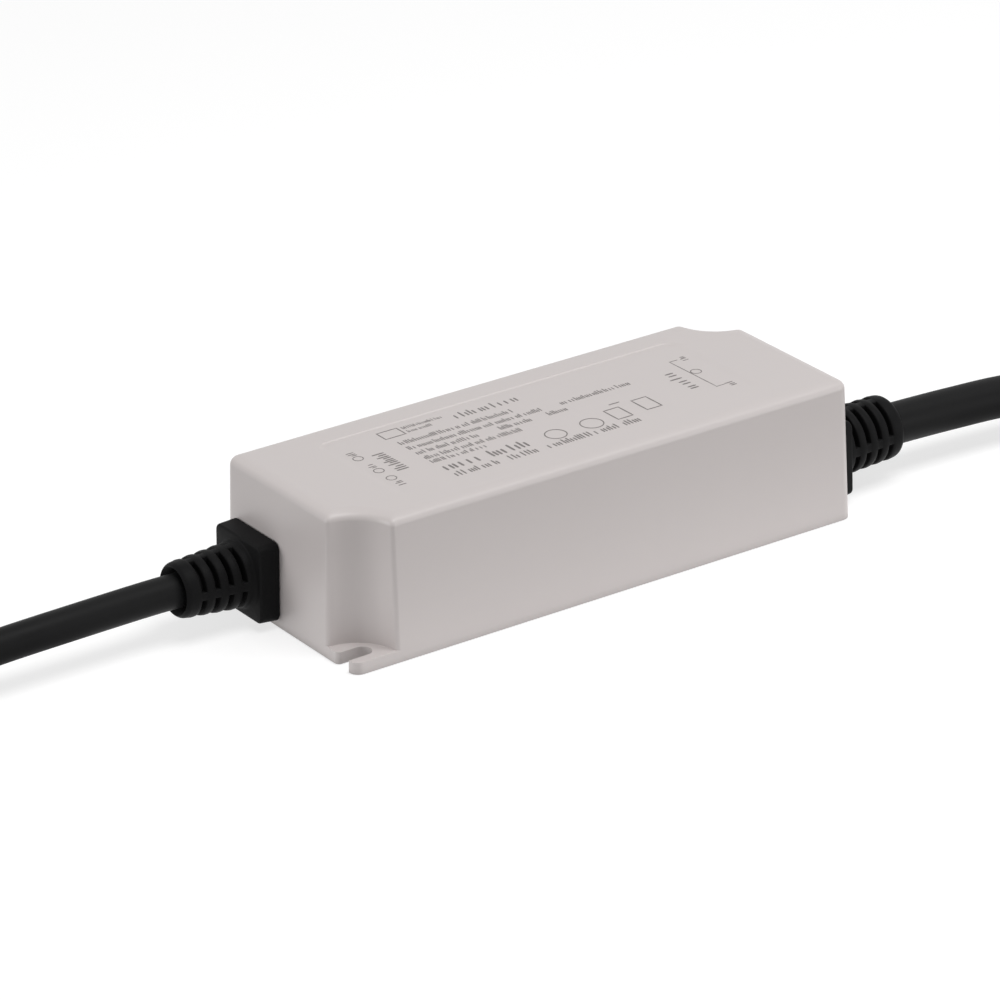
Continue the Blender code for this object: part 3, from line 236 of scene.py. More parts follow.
class CaseSettings(bpy.types.PropertyGroup):
    """Sizes and colour of the moulded case"""

    length: distance("Length", "Length over the ears", CASE_HIGH.x - CASE_LOW.x)
    width: distance("Width", "Width at the foot", CASE_HIGH.y - CASE_LOW.y)
    height: distance("Height", "Height of the case", CASE_HIGH.z)
    wall: distance("Wall", "Thickness of the walls", 0.0022)
    roof: distance("Roof", "Thickness of the roof", 0.0024)
    draft: angle_property("Draft", "Lean of the long and end walls", 1.47)
    corner: distance("Corner", "Radius of the two plain corners", 0.003)
    rim: distance("Rim", "Tight radius of the roof's rim, next to the wall", 0.002)
    rim_wide: distance("Wide rim", "Wide radius of the roof's rim, next to the roof", 0.0063)
    rim_turn: angle_property("Rim turn", "Angle that the tight radius turns through", 65.0)
    scallop: distance("Scallop", "Radius of the two hollow corners", 0.012)
    scallop_edge: distance("Scallop edge", "Radius where a scallop meets a wall", 0.0012)
    ear: distance("Ear", "Thickness of the mounting ears", 0.0031)
    slot_width: distance("Slot width", "Width of the ear's open slot", 0.0048)
    slot_reach: distance("Slot reach", "Depth of the slot from the case's end", 0.0079)
    slot_inset: distance("Slot inset", "Slot's middle line from the long side", 0.00535)
    slot_mouth: distance("Slot mouth", "Radius of the corner at the slot's mouth", 0.0012)
    ear_corner: distance("Ear corner", "Radius of the ear's outer corner", 0.0025)
    edge: distance("Edge", "Rounding of the ears' and the rim's edges", 0.0004)
    panel_margin_x: distance("Panel end margin", "Roof panel from the case's ends", 0.0215)
    panel_margin_y: distance("Panel side margin", "Roof panel from the long sides", 0.00985)
    panel_depth: distance("Panel depth", "Depth of the roof panel at its rear", 0.00035)
    panel_lip: distance("Panel lip", "Width of the panel's rear step", 0.0006)
    panel_soft: distance("Panel slope", "Width of the panel's other three steps", 0.0032)
    color: color_property("Colour", "Case plastic", (0.60, 0.555, 0.545))
    print_color: color_property("Print colour", "Ink on the roof", (0.17, 0.155, 0.15))


class GlandSettings(bpy.types.PropertyGroup):
    """Sizes and colour of the two cable glands"""

    axis_height: distance("Axis height", "Gland's middle above the floor", 0.0122)
    output_lift: distance("Output lift", "The output gland's extra height", 0.00045)
    flange_width: distance("Flange width", "Flange across", 0.0207)
    flange_height: distance("Flange height", "Flange upwards", 0.0208)
    flange_thickness: distance("Flange thickness", "Flange out from the wall", 0.0055)
    flange_corner: distance("Flange corner", "Radius of the flange's corners", 0.0022)
    flange_edge: distance("Flange edge", "Rounding of the flange's face", 0.0006)
    boot_length: distance("Boot length", "Boot beyond the flange", 0.01875)
    tip_round: distance("Tip rounding", "Rounding at the boot's tip", 0.002)
    slot_rows: IntProperty(name="Slot rows", description="Rows of windows along the boot",
                           default=4, min=1, max=8)
    slot_width: distance("Slot width", "Width of a window along the boot", 0.00135)
    slot_pitch: distance("Slot pitch", "Distance from window to window", 0.00365)
    first_slot: distance("First slot", "First window from the flange", 0.00285)
    slot_arc: angle_property("Slot arc", "Angle that a window spans", 73.0)
    lip_turn: angle_property("Lip turn", "Angle of the tip's rounding up to its lip", 53.0)
    mouth_depth: distance("Mouth depth", "Depth of the funnel round the cable", 0.0038)
    color: color_property("Colour", "Gland plastic", (0.0085, 0.0085, 0.0088))


class CableSettings(bpy.types.PropertyGroup):
    """Sizes and colour of the cables and their cores"""

    input_diameter: distance("Input diameter", "Input cable's jacket", 0.0086)
    output_diameter: distance("Output diameter", "Output cable's jacket", 0.0109)
    core_radius: distance("Core radius", "Radius of a core's insulation", 0.0012)
    core_length: distance("Core length", "Core that stands out of the jacket", 0.034)
    tip_radius: distance("Tip radius", "Radius of the tinned end", 0.0007)
    tip_length: distance("Tip length", "Length of the tinned end", 0.007)
    color: color_property("Colour", "Cable jacket", (0.011, 0.011, 0.0113))


class StageSettings(bpy.types.PropertyGroup):
    """Floor, lamps and camera"""

    key_power: level_property("Key power", "Watts of the lamp overhead", 6.4)
    left_power: level_property("Left power", "Watts of the low lamp at the left", 4.9)
    front_power: level_property("Front power", "Watts of the low lamp in front", 3.2)
    right_power: level_property("Right power", "Watts of the high lamp at the right", 3.3)
    bounce: level_property("Bounce", "Light that the paper by the case throws up its walls", 0.465)
    bounce_gap: distance("Bounce gap", "From the case to the lit paper round it", 0.0012)
    bounce_reach: distance("Bounce reach", "How far the lit paper reaches", 0.045)
    world: level_property("World", "Strength of the even light from all round", 0.2)
    floor_color: color_property("Floor colour", "Floor paper", (0.4, 0.4, 0.4))
    floor_radius: distance("Floor radius", "Round sheet of paper under the object", 0.65)
    floor_glow: level_property("Floor glow", "What makes the floor white to the eye", 0.7)
    lens: level_property("Lens", "Focal length in mm, on a 36 mm sensor", 192.9)


# Node helpers

def set_inputs(node, inputs):
    """Gives each input a value, or joins it to another node's output."""
    for name, value in inputs.items():
        if isinstance(value, bpy.types.NodeSocket):
            node.id_data.links.new(value, node.inputs[name])
        else:
            node.inputs[name].default_value = value


def add_node(tree, kind, inputs=None, output=0, **settings):
    """Adds a node with its settings and inputs, and returns one of its outputs."""
    node = tree.nodes.new(kind)
    node.location.x = NODE_STEP * len(tree.nodes)
    for name, value in settings.items():
        setattr(node, name, value)
    set_inputs(node, inputs or {})
    return node.outputs[output]


def add_math(tree, operation, *values):
    return add_node(tree, "ShaderNodeMath", dict(enumerate(values)), operation=operation)


def new_group(name, kind, inputs, outputs):
    """A node group with named sockets: the tree, the sockets it is given and its last node."""
    tree = bpy.data.node_groups.new(name, kind)
    for in_out, sockets in (("INPUT", inputs), ("OUTPUT", outputs)):
        for label, value, *default in sockets:
            socket = tree.interface.new_socket(name=label, in_out=in_out,
                                               socket_type=f"NodeSocket{value}")
            if default:
                socket.default_value = default[0]
    return tree, tree.nodes.new("NodeGroupInput").outputs, tree.nodes.new("NodeGroupOutput")


def painted(leave, geometry, material):
    """Ends a tree of geometry nodes: real geometry in one material."""
    tree = leave.id_data
    real = add_node(tree, "GeometryNodeRealizeInstances", {"Geometry": geometry})
    paint = add_node(tree, "GeometryNodeSetMaterial", {"Geometry": real, "Material": material})
    set_inputs(leave, {"Geometry": paint})
    return tree


# Materials

def grain_group():
    """Moulded or extruded surface: fine grain, cloudy colour and cloudy gloss on Object coordinates."""
    name = "moulded_grain"
    if name in bpy.data.node_groups:
        return bpy.data.node_groups[name]
    tree, given, leave = new_group(
        name, "ShaderNodeTree",
        (("Color", "Color", (0.5, 0.5, 0.5, 1.0)), ("Grain Scale", "Float", 2500.0),
         ("Cloud Scale", "Float", 60.0), ("Mottle", "Float", 0.04), ("Roughness", "Float", 0.45),
         ("Gloss Spread", "Float", 0.08)),
        (("Color", "Color"), ("Roughness", "Float"), ("Height", "Float")))
    place = add_node(tree, "ShaderNodeTexCoord", output="Object")
    grain = add_node(tree, "ShaderNodeTexNoise", {
        "Vector": place, "Scale": given["Grain Scale"], "Detail": 3.0, "Roughness": 0.6})
    cloud = add_node(tree, "ShaderNodeTexNoise", {
        "Vector": place, "Scale": given["Cloud Scale"], "Detail": 4.0, "Roughness": 0.55})
    centred = add_math(tree, "SUBTRACT", cloud, 0.5)
    speck = add_math(tree, "SUBTRACT", grain, 0.5)
    both = add_math(tree, "MULTIPLY_ADD", speck, 0.6, centred)
    factor = add_math(tree, "MULTIPLY_ADD", both, given["Mottle"], 1.0)
    tint = add_node(tree, "ShaderNodeVectorMath", {0: given["Color"], "Scale": factor},
                    operation="SCALE")
    gloss = add_math(tree, "MULTIPLY_ADD", both, given["Gloss Spread"], given["Roughness"])
    set_inputs(leave, {"Color": tint, "Roughness": gloss, "Height": grain})
    return tree


def new_material(name):
    material = bpy.data.materials.new(name)
    material.use_nodes = True
    return material, material.node_tree, material.node_tree.nodes["Principled BSDF"]


def grained(name, color, roughness, grain_mm=0.4, cloud_mm=18.0, mottle=0.04, spread=0.08,
            bump=0.15, depth_mm=0.02, metallic=0.0, specular=0.5):
    """A material whose colour, gloss and bump come from the shared grain group."""
    material, tree, shader = new_material(name)
    group = add_node(tree, "ShaderNodeGroup", {
        "Color": (*color, 1.0), "Grain Scale": 1.0 / (grain_mm * MM),
        "Cloud Scale": 1.0 / (cloud_mm * MM), "Mottle": mottle, "Roughness": roughness,
        "Gloss Spread": spread}, node_tree=grain_group()).node.outputs
    bumper = add_node(tree, "ShaderNodeBump", {
        "Strength": bump, "Distance": depth_mm * MM, "Height": group["Height"]})
    set_inputs(shader, {
        "Base Color": group["Color"], "Roughness": group["Roughness"], "Normal": bumper,
        "Metallic": metallic, "Specular IOR Level": specular})
    material.diffuse_color = (*color, 1.0)
    return material


def striped(name, color, stripe_color, roughness):
    """Insulation with two stripes along it, placed by the tube's own UV map."""
    material = grained(name, color, roughness, grain_mm=0.25, bump=0.1)
    tree = material.node_tree
    shader = tree.nodes["Principled BSDF"]
    plain = shader.inputs["Base Color"].links[0].from_socket
    around = add_node(tree, "ShaderNodeUVMap", uv_map="around")
    turn = add_node(tree, "ShaderNodeSeparateXYZ", {0: around}, output="X")
    edge = add_math(tree, "GREATER_THAN", add_math(tree, "PINGPONG", turn, 0.25), 0.15)
    mix = add_node(tree, "ShaderNodeMix", {"Factor": edge, "A": plain, "B": (*stripe_color, 1.0)},
                   output="Result", data_type="RGBA")
    set_inputs(shader, {"Base Color": mix})
    return material


# Mesh helpers

def sweep(start, end, steps):
    """Angles from one to another, with both of them in it."""
    return [start + (end - start) * step / steps for step in range(steps + 1)]


def arc(center_x, center_y, radius, start, end, steps):
    """Points on a circle from one angle to another, both in radians."""
    return [(center_x + radius * cos(angle), center_y + radius * sin(angle))
            for angle in sweep(start, end, steps)]


def rounded_rectangle(half_x, half_y, radius, steps):
    points = []
    for quarter, (side_x, side_y) in enumerate(((1, 1), (-1, 1), (-1, -1), (1, -1))):
        start = quarter * pi / 2
        points += arc(side_x * (half_x - radius), side_y * (half_y - radius), radius, start,
                      start + pi / 2, steps)
    return points


def add_ring(bm, points, z):
    return [bm.verts.new((x, y, z)) for x, y in points]


def bridge(bm, low, high):
    """Quads between two rings with the same number of points."""
    count = len(low)
    for index in range(count):
        after = (index + 1) % count
        bm.faces.new((low[index], low[after], high[after], high[index]))


def loft(bm, rings):
    for low, high in zip(rings, rings[1:]):
        bridge(bm, low, high)


def fill_between(bm, *rings):
    """Flat faces between an outer ring and the rings inside it."""
    edges = []
    for ring in rings:
        for index, vert in enumerate(ring):
            other = ring[(index + 1) % len(ring)]
            edges.append(bm.edges.get((vert, other)) or bm.edges.new((vert, other)))
    bmesh.ops.triangle_fill(bm, edges=edges, use_beauty=True, use_dissolve=False)


def finished_object(name, bm, material):
    bmesh.ops.recalc_face_normals(bm, faces=bm.faces)
    mesh = bpy.data.meshes.new(name)
    bm.to_mesh(mesh)
    bm.free()
    mesh.materials.append(material)
    item = bpy.data.objects.new(name, mesh)
    bpy.context.scene.collection.objects.link(item)
    return item


def grown(name, mesh, tree, material, **values):
    """A plain object that a tree of geometry nodes makes from a mesh, with the tree's inputs set."""
    item = bpy.data.objects.new(name, mesh)
    bpy.context.scene.collection.objects.link(item)
    modifier = item.modifiers.new(tree.name, "NODES")
    modifier.node_group = tree
    for socket in tree.interface.items_tree:
        if socket.in_out == "INPUT" and socket.name in values:
            modifier[socket.identifier] = values[socket.name]
    applied(item)
    item.data.materials.clear()
    item.data.materials.append(material)
    return item


def applied(item):
    """Replaces the object's mesh by its evaluated one and drops its modifiers."""
    graph = bpy.context.evaluated_depsgraph_get()
    mesh = bpy.data.meshes.new_from_object(item.evaluated_get(graph), depsgraph=graph,
                                           preserve_all_data_layers=True)
    old = item.data
    name = item.name
    item.modifiers.clear()
    item.data = mesh
    bpy.data.meshes.remove(old)
    mesh.name = name


def soften(item, width):
    """Rounds the sharp edges, shades smooth and weights the normals by face area."""
    item.data.shade_smooth()
    bevel = item.modifiers.new("edges", "BEVEL")
    bevel.width = width
    bevel.segments = 2
    bevel.limit_method = "ANGLE"
    bevel.angle_limit = radians(40.0)
    bevel.use_clamp_overlap = True
    weigh = item.modifiers.new("normals", "WEIGHTED_NORMAL")
    weigh.keep_sharp = True
    weigh.weight = 100
    applied(item)


def smooth_route(points, step):
    """Catmull-Rom curve through the points, sampled about every step."""
    route = [Vector(point) for point in points]
    padded = [2 * route[0] - route[1], *route, 2 * route[-1] - route[-2]]
    samples = []
    for before, start, end, after in zip(padded, padded[1:], padded[2:], padded[3:]):
        count = max(1, round((end - start).length / step))
        for index in range(count):
            t = index / count
            samples.append(0.5 * (2 * start + (end - before) * t
                                  + (2 * before - 5 * start + 4 * end - after) * t ** 2
                                  + (3 * start - before - 3 * end + after) * t ** 3))
    samples.append(route[-1])
    return samples


def tube_object(name, path, radius, sides, material, ends):
    """A tube along a path with a UV map called around: U round it, V along it in metres.

    Each end is a list of (advance, radius) rings from the tube's own rim to its middle.
    """
    bm = bmesh.new()
    heading = (path[1] - path[0]).normalized()
    aside = heading.cross(Vector((0, 0, 1))).normalized()
    run = 0.0
    levels = []
    for index, point in enumerate(path):
        back = path[max(index - 1, 0)]
        front = path[min(index + 1, len(path) - 1)]
        direction = (front - back).normalized()
        aside = (aside - direction * aside.dot(direction)).normalized()
        run += (point - back).length
        levels.append((point, direction, aside.copy(), radius, run))
    point, direction, side, *_ = levels[0]
    start = [(point - direction * advance, direction, side, size, 0.0)
             for advance, size in reversed(ends[0])]
    point, direction, side, *_ = levels[-1]
    stop = [(point + direction * advance, direction, side, size, run) for advance, size in ends[1]]
    levels = [*start, *levels, *stop]
    turns = [2 * pi * index / sides for index in range(sides)]
    rings = []
    for point, direction, side, size, _ in levels:
        up = side.cross(direction).normalized()
        rings.append([bm.verts.new(point + size * (cos(turn) * side + sin(turn) * up))
                      for turn in turns])
    loft(bm, rings)
    bm.faces.new(list(reversed(rings[0])))
    bm.faces.new(rings[-1])
    layer = bm.loops.layers.uv.new("around")
    map_of = {vert: (column / sides, level[-1]) for ring, level in zip(rings, levels)
              for column, vert in enumerate(ring)}
    for face in bm.faces:
        corners = [map_of[loop.vert] for loop in face.loops]
        wraps = len(corners) == 4 and max(corners)[0] - min(corners)[0] > 0.5
        for loop, (u, v) in zip(face.loops, corners):
            loop[layer].uv = (u + 1.0 if wraps and u < 0.5 else u, v)
    item = finished_object(name, bm, material)
    item.data.shade_smooth()
    return item


def take_nodes(piece, slot, *nodes):
    """Puts a piece under the root body and hides the CAD nodes that it replaces. Its material slot is not
    used.
    """
    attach(piece, "root")
    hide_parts(*nodes)


# Case

def scalloped_ring(case, half_x, half_y, inset):
    """The case's outline, from the scallop at the input end's front through the plain corner.

    Returns the points and the index of the scallop's last point.
    """
    center_x = -case.length / 2
    center_y = -case.width / 2
    hollow = case.scallop + inset
    soft = case.scallop_edge
    side_x = -half_x + soft
    side_y = center_y + sqrt((hollow + soft) ** 2 - (side_x - center_x) ** 2)
    front_y = -half_y + soft
    front_x = center_x + sqrt((hollow + soft) ** 2 - (front_y - center_y) ** 2)
    high = atan2(side_y - center_y, side_x - center_x)
    low = atan2(front_y - center_y, front_x - center_x)
    points = arc(side_x, side_y, soft, pi, pi + high, 4)
    points += arc(center_x, center_y, hollow, high, low, 18)[1:-1]
    points += arc(front_x, front_y, soft, pi + low, 1.5 * pi, 4)
    last = len(points) - 1
    corner = max(case.corner - inset, LEAST_CORNER)
    points += arc(half_x - corner, -half_y + corner, corner, 1.5 * pi, 2 * pi, 6)
    return points + [(-x, -y) for x, y in points], last


def ear_path(case, half_x, half_y):
    """Outer edge of the front ear, from the end wall round the slot and the corner to the front."""
    middle = -case.width / 2 + case.slot_inset
    radius = case.slot_width / 2
    mouth = case.slot_mouth
    round_x = -case.length / 2 + case.slot_reach - radius
    points = arc(-half_x + mouth, middle + radius + mouth, mouth, pi, 1.5 * pi, 6)
    points += arc(round_x, middle, radius, pi / 2, -pi / 2, 14)
    corner = case.ear_corner
    points += [(-half_x, middle - radius)]
    points += arc(-half_x + corner, -half_y + corner, corner, pi, 1.5 * pi, 8)
    return points


def panel_half(case):
    """Half the length and half the width of the panel sunk into the roof."""
    return case.length / 2 - case.panel_margin_x, case.width / 2 - case.panel_margin_y


def panel_drop(case, y):
    """How far the panel lies under the roof: a little at its front edge, its whole depth at the rear."""
    half = panel_half(case)[1]
    return case.panel_depth * min(1.0, max(LEAST_DROP, (y + half) / (2 * half)))


def rim_profile(case):
    """Inset and rise of the rim's rings, from the wall up to the roof."""
    turn = case.rim_turn
    tight = [(case.rim * (1 - cos(angle)), case.rim * sin(angle))
             for angle in sweep(0.0, turn, 6)[1:]]
    inset, rise = tight[-1]
    return tight + [(inset + case.rim_wide * (cos(turn) - cos(angle)),
                     rise + case.rim_wide * (sin(angle) - sin(turn)))
                    for angle in sweep(turn, pi / 2, 5)[1:]]


def make_case_mesh(case):
    lean = tan(case.draft)
    half_x = case.length / 2
    half_y = case.width / 2
    bm = bmesh.new()

    def outer(z, inset=0.0):
        return scalloped_ring(case, half_x - z * lean - inset, half_y - z * lean - inset, inset)

    # Walls above the ears, then the rounded rim of the roof
    ring, last = outer(case.ear)
    rings = [add_ring(bm, ring, case.ear)]
    profile = rim_profile(case)
    rim_foot = case.height - profile[-1][1]
    for step in range(1, 5):
        z = case.ear + (rim_foot - case.ear) * step / 4
        rings.append(add_ring(bm, outer(z)[0], z))
    for inset, rise in profile:
        z = rim_foot + rise
        rings.append(add_ring(bm, outer(z, inset)[0], z))
    loft(bm, rings)

    # Roof with its panel
    panel_x, panel_y = panel_half(case)
    panel = []
    for step in range(6):
        share = step / 5
        soft = (0.5 - share) * case.panel_soft
        rear = panel_y + (0.5 - share) * case.panel_lip
        front = -panel_y - soft
        ring = rounded_rectangle(panel_x + soft, (rear - front) / 2, PANEL_CORNER + soft, 6)
        ring = [(x, y + (rear + front) / 2) for x, y in ring]
        sunk = share * share * (3 - 2 * share)
        panel.append([bm.verts.new((x, y, case.height - sunk * panel_drop(case, y)))
                      for x, y in ring])
    loft(bm, panel)
    fill_between(bm, rings[-1], panel[0])
    bm.faces.new(panel[-1])

    # Foot: the ears' outline, which shares the walls' points away from the scallops
    shared = rings[0]
    half_count = len(shared) // 2
    upper = []
    lower = []
    foot_ring = outer(0.0)[0]
    for base, sign in ((0, 1), (half_count, -1)):
        kept = slice(base + last, base + half_count)
        ears = []
        for z in (case.ear, 0.0):
            path = ear_path(case, half_x - z * lean, half_y - z * lean)
            ears.append(add_ring(bm, [(sign * x, sign * y) for x, y in path], z))
        fill_between(bm, [*ears[0], *reversed(shared[base:base + last + 1])])
        start_low = bm.verts.new((sign * -half_x, shared[base].co.y, 0.0))
        upper += [shared[base], *ears[0], *shared[kept]]
        lower += [start_low, *ears[1], *add_ring(bm, foot_ring[kept], 0.0)]
    bridge(bm, lower, upper)

    # Room inside
    ceiling = case.height - case.roof
    cavity = [add_ring(bm, outer(z, case.wall)[0], z) for z in (0.0, ceiling)]
    bridge(bm, *cavity)
    bm.faces.new(cavity[1])
    fill_between(bm, lower, cavity[0])
    return bm


class DRIVER_OT_case(bpy.types.Operator):
    """Build the moulded case with its rounded rim, scalloped corners and slotted ears"""

    bl_idname = "driver.case"
    bl_label = "Case"

    def execute(self, context):
        case = context.scene.driver_case
        plastic = grained("case_plastic", case.color, 0.42, grain_mm=0.35, cloud_mm=25.0,
                          mottle=0.03, spread=0.1, bump=0.12, depth_mm=0.015)
        body = finished_object("case_body", make_case_mesh(case), plastic)
        soften(body, case.edge)
        take_nodes(body, "case_plastic", "case_shell")
        return {"FINISHED"}


# Print on the roof

def block_tree(material):
    """Geometry nodes that put a rounded block on each point, sized and turned by its attributes."""
    tree, given, leave = new_group(
        "print_blocks", "GeometryNodeTree",
        (("Geometry", "Geometry"), ("Corner", "Float", PRINT_CORNER),
         ("Thickness", "Float", PRINT_THICKNESS)),
        (("Geometry", "Geometry"),))
    outline = add_node(tree, "GeometryNodeCurvePrimitiveQuadrilateral", {"Width": 1.0, "Height": 1.0})
    rounded = add_node(tree, "GeometryNodeFilletCurve", {"Curve": outline, "Radius": given["Corner"]})
    fill = add_node(tree, "GeometryNodeFillCurve", {"Curve": rounded})
    raised = add_node(tree, "GeometryNodeExtrudeMesh", {
        "Mesh": fill, "Offset Scale": given["Thickness"], "Individual": False})
    under = add_node(tree, "GeometryNodeFlipFaces", {"Mesh": fill})
    closed = add_node(tree, "GeometryNodeJoinGeometry", {"Geometry": raised})
    set_inputs(closed.node, {"Geometry": under})
    welded = add_node(tree, "GeometryNodeMergeByDistance", {"Geometry": closed, "Distance": 0.000001})
    size, turn = (add_node(tree, "GeometryNodeInputNamedAttribute", {"Name": name},
                           data_type="FLOAT_VECTOR") for name in ("size", "turn"))
    angle = add_node(tree, "FunctionNodeEulerToRotation", {"Euler": turn})
    put = add_node(tree, "GeometryNodeInstanceOnPoints", {
        "Points": given["Geometry"], "Instance": welded, "Scale": size, "Rotation": angle})
    return painted(leave, put, material)


def print_blocks():
    """Where each small block of the greeked print stands: place, size and turn."""
    draw = random.Random(7)
    blocks = []
    for middle_x, middle_y, length, height, degrees in PRINT_RUNS:
        turn = radians(degrees)
        stroke = STROKE_WIDTH * height
        reach = stroke / 2 - length / 2
        while reach < (length - stroke) / 2:
            tall = height if draw.random() < TALL_SHARE else SHORT_STROKE * height
            rise = (tall - height) / 2
            x = middle_x + reach * cos(turn) - rise * sin(turn)
            y = middle_y + reach * sin(turn) + rise * cos(turn)
            blocks.append((x, y, stroke, tall, turn))
            reach += height * draw.choice(STROKE_STEPS)
    for x, y, length, width in PRINT_BARS:
        blocks.append((x, y, length, width, 0.0))
    for x, y, length, width, line in PRINT_FRAMES:
        ends = [x + side * (length - line) / 2 for side in (-1, 1)]
        edges = [y + side * (width - line) / 2 for side in (-1, 1)]
        blocks += [(end, y, line, width, 0.0) for end in ends]
        blocks += [(x, edge, length - 2 * line, line, 0.0) for edge in edges]
    return blocks


def lay_on_panel(case, item):
    """Lowers print from the roof's level to the sunk panel."""
    for vert in item.data.vertices:
        vert.co.z -= panel_drop(case, vert.co.y)


class DRIVER_OT_print(bpy.types.Operator):
    """Lay the plain printed blocks and rings on the roof"""

    bl_idname = "driver.roof_print"
    bl_label = "Roof print"

    def execute(self, context):
        case = context.scene.driver_case
        ink = grained("print_ink", case.print_color, 0.5, grain_mm=0.2, cloud_mm=6.0, mottle=0.25,
                      spread=0.05, bump=0.05, depth_mm=0.005)
        level = case.height
        blocks = print_blocks()
        mesh = bpy.data.meshes.new("print_points")
        mesh.from_pydata([(x * MM, y * MM, level) for x, y, *_ in blocks], [], [])
        size = mesh.attributes.new("size", "FLOAT_VECTOR", "POINT")
        turn = mesh.attributes.new("turn", "FLOAT_VECTOR", "POINT")
        for index, (_, _, wide, tall, angle) in enumerate(blocks):
            size.data[index].vector = (wide * MM, tall * MM, 1.0)
            turn.data[index].vector = (0.0, 0.0, angle)
        item = grown("roof_print", mesh, block_tree(ink), ink, Corner=PRINT_CORNER,
                     Thickness=PRINT_THICKNESS)
        lay_on_panel(case, item)
        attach(item, "root")

        bm = bmesh.new()
        for x, y, radius, line in PRINT_RINGS:
            rings = []
            for size_mm, z in ((radius - line, level), (radius - line, level + PRINT_THICKNESS),
                               (radius, level + PRINT_THICKNESS), (radius, level)):
                points = arc(x * MM, y * MM, size_mm * MM, 0, 2 * pi, 40)[:-1]
                rings.append(add_ring(bm, points, z))
            loft(bm, [*rings, rings[0]])
        rings_item = finished_object("roof_print_rings", bm, ink)
        lay_on_panel(case, rings_item)
        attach(rings_item, "root")
        return {"FINISHED"}


# Glands

# Name, side, radii of the boot's root and tip, shift of the flange upwards and how much thinner it is
GLANDS = (
    ("input", -1, 0.00835, 0.007, -0.00015, 0.0),
    ("output", 1, 0.00865, 0.00835, -0.0004, 0.0003),
)


def gland_middle(label):
    low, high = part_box(f"{label}_gland")
    return (low.y + high.y) / 2


def gland_frame(case, gland, side, y):
    """Origin on the end wall's outer face, Z out along its normal, Y up."""
    height = gland.axis_height + (gland.output_lift if side > 0 else 0.0)
    out = Vector((side * cos(case.draft), 0, sin(case.draft)))
    up = Vector((-side * sin(case.draft), 0, cos(case.draft)))
    wall = case.length / 2 - height * tan(case.draft)
    placed = Matrix((up.cross(out), up, out)).transposed().to_4x4()
    placed.translation = Vector((side * wall, y, height))
    return placed


def window_drops(half_width):
    """Offsets from a window's middle and how far the surface has dropped there. None is the floor."""
    edge = WINDOW_EDGE
    rounding = [(-1.0, 0.0), (-0.5, 0.134), (-0.15, 0.47), (0.0, 1.0)]
    drops = [(-half_width + offset * edge, drop * edge) for offset, drop in rounding]
    drops += [(-half_width + 0.06 * edge, None)]
    return drops + [(-offset, drop) for offset, drop in reversed(drops)]


def make_gland_mesh(gland, placed, root_radius, tip_radius, cable_radius, flange_shift, thinner):
    bm = bmesh.new()
    half_x = gland.flange_width / 2
    half_y = gland.flange_height / 2
    face = gland.flange_thickness - thinner

    # Flange, from the wall outwards
    rings = []
    edge = gland.flange_edge
    levels = [(0.00002, 0.0004), (0.0004, 0.0), (face - edge, FLANGE_TAPER)]
    for angle in sweep(0.0, pi / 2, 5)[1:]:
        levels.append((face - edge + edge * sin(angle),
                       FLANGE_TAPER + edge * (1 - cos(angle))))
    for z, inset in levels:
        corner = gland.flange_corner - inset
        outline = rounded_rectangle(half_x - inset, half_y - inset, corner, 6)
        rings.append(add_ring(bm, [(x, y + flange_shift) for x, y in outline], z))
    loft(bm, rings)
    bm.faces.new(list(reversed(rings[0])))

    # Boot: rows along it, and columns round it that are close at the windows' ends
    tip = face + gland.boot_length
    rows = [(face + BOOT_FILLET * (1 - cos(angle)), BOOT_FILLET * (1 - sin(angle)), 0.0)
            for angle in sweep(0.0, pi / 2, 4)]
    for row in range(gland.slot_rows):
        middle = face + gland.first_slot + row * gland.slot_pitch
        for offset, drop in window_drops(gland.slot_width / 2):
            rows.append((middle + offset, 0.0, drop))
        rows.append((middle + gland.slot_pitch / 2, 0.0, 0.0))
    rows.pop()
    straight_end = tip - gland.tip_round
    rows.append((straight_end - 0.0012, 0.0, 0.0))
    columns = []
    window_half = gland.slot_arc / 2
    mean_radius = (root_radius + tip_radius) / 2
    for quarter in range(4):
        middle = radians(45.0 + 90.0 * quarter)
        drops = [(middle + offset / mean_radius, drop)
                 for offset, drop in window_drops(window_half * mean_radius)]
        half = len(drops) // 2
        inner = [(middle + radians(angle), None) for angle in range(-30, 31, 6)]
        columns += [*drops[:half], *inner, *drops[half:], (middle + radians(45.0), 0.0)]

    floor = cable_radius + WINDOW_FLOOR
    last_row = gland.slot_rows - 1

    def side_radius(z):
        share = (z - face) / (straight_end - face)
        bulge = 0.0
        phase = (z - face - gland.first_slot) / gland.slot_pitch
        if -0.5 < phase < last_row + 0.5:
            bulge = -WINDOW_BULGE * cos(2 * pi * phase)
        return root_radius + (tip_radius - root_radius) * share + bulge

    boot = []
    for z, extra, row_drop in rows:
        ring = []
        surface = side_radius(z) + extra
        for angle, column_drop in columns:
            deep = surface - floor
            drop = min(deep if row_drop is None else row_drop,
                       deep if column_drop is None else column_drop)
            size = surface - drop
            ring.append(bm.verts.new((size * cos(angle), size * sin(angle), z)))
        boot.append(ring)
    end_profile = [(straight_end + gland.tip_round * sin(angle),
                    tip_radius - gland.tip_round * (1 - cos(angle)))
                   for angle in sweep(0.0, gland.lip_turn, 6)]
    lip_z, lip_radius = end_profile[-1]
    mouth_floor = tip - gland.mouth_depth
    end_profile += [(lip_z - 0.00005, lip_radius - 0.00015), (mouth_floor, cable_radius + 0.0001),
                    (mouth_floor, cable_radius * 0.5)]
    for z, size in end_profile:
        boot.append([bm.verts.new((size * cos(angle), size * sin(angle), z))
                     for angle, _ in columns])
    loft(bm, boot)
    bm.faces.new(boot[-1])
    fill_between(bm, rings[-1], boot[0])
    bm.transform(placed)
    return bm


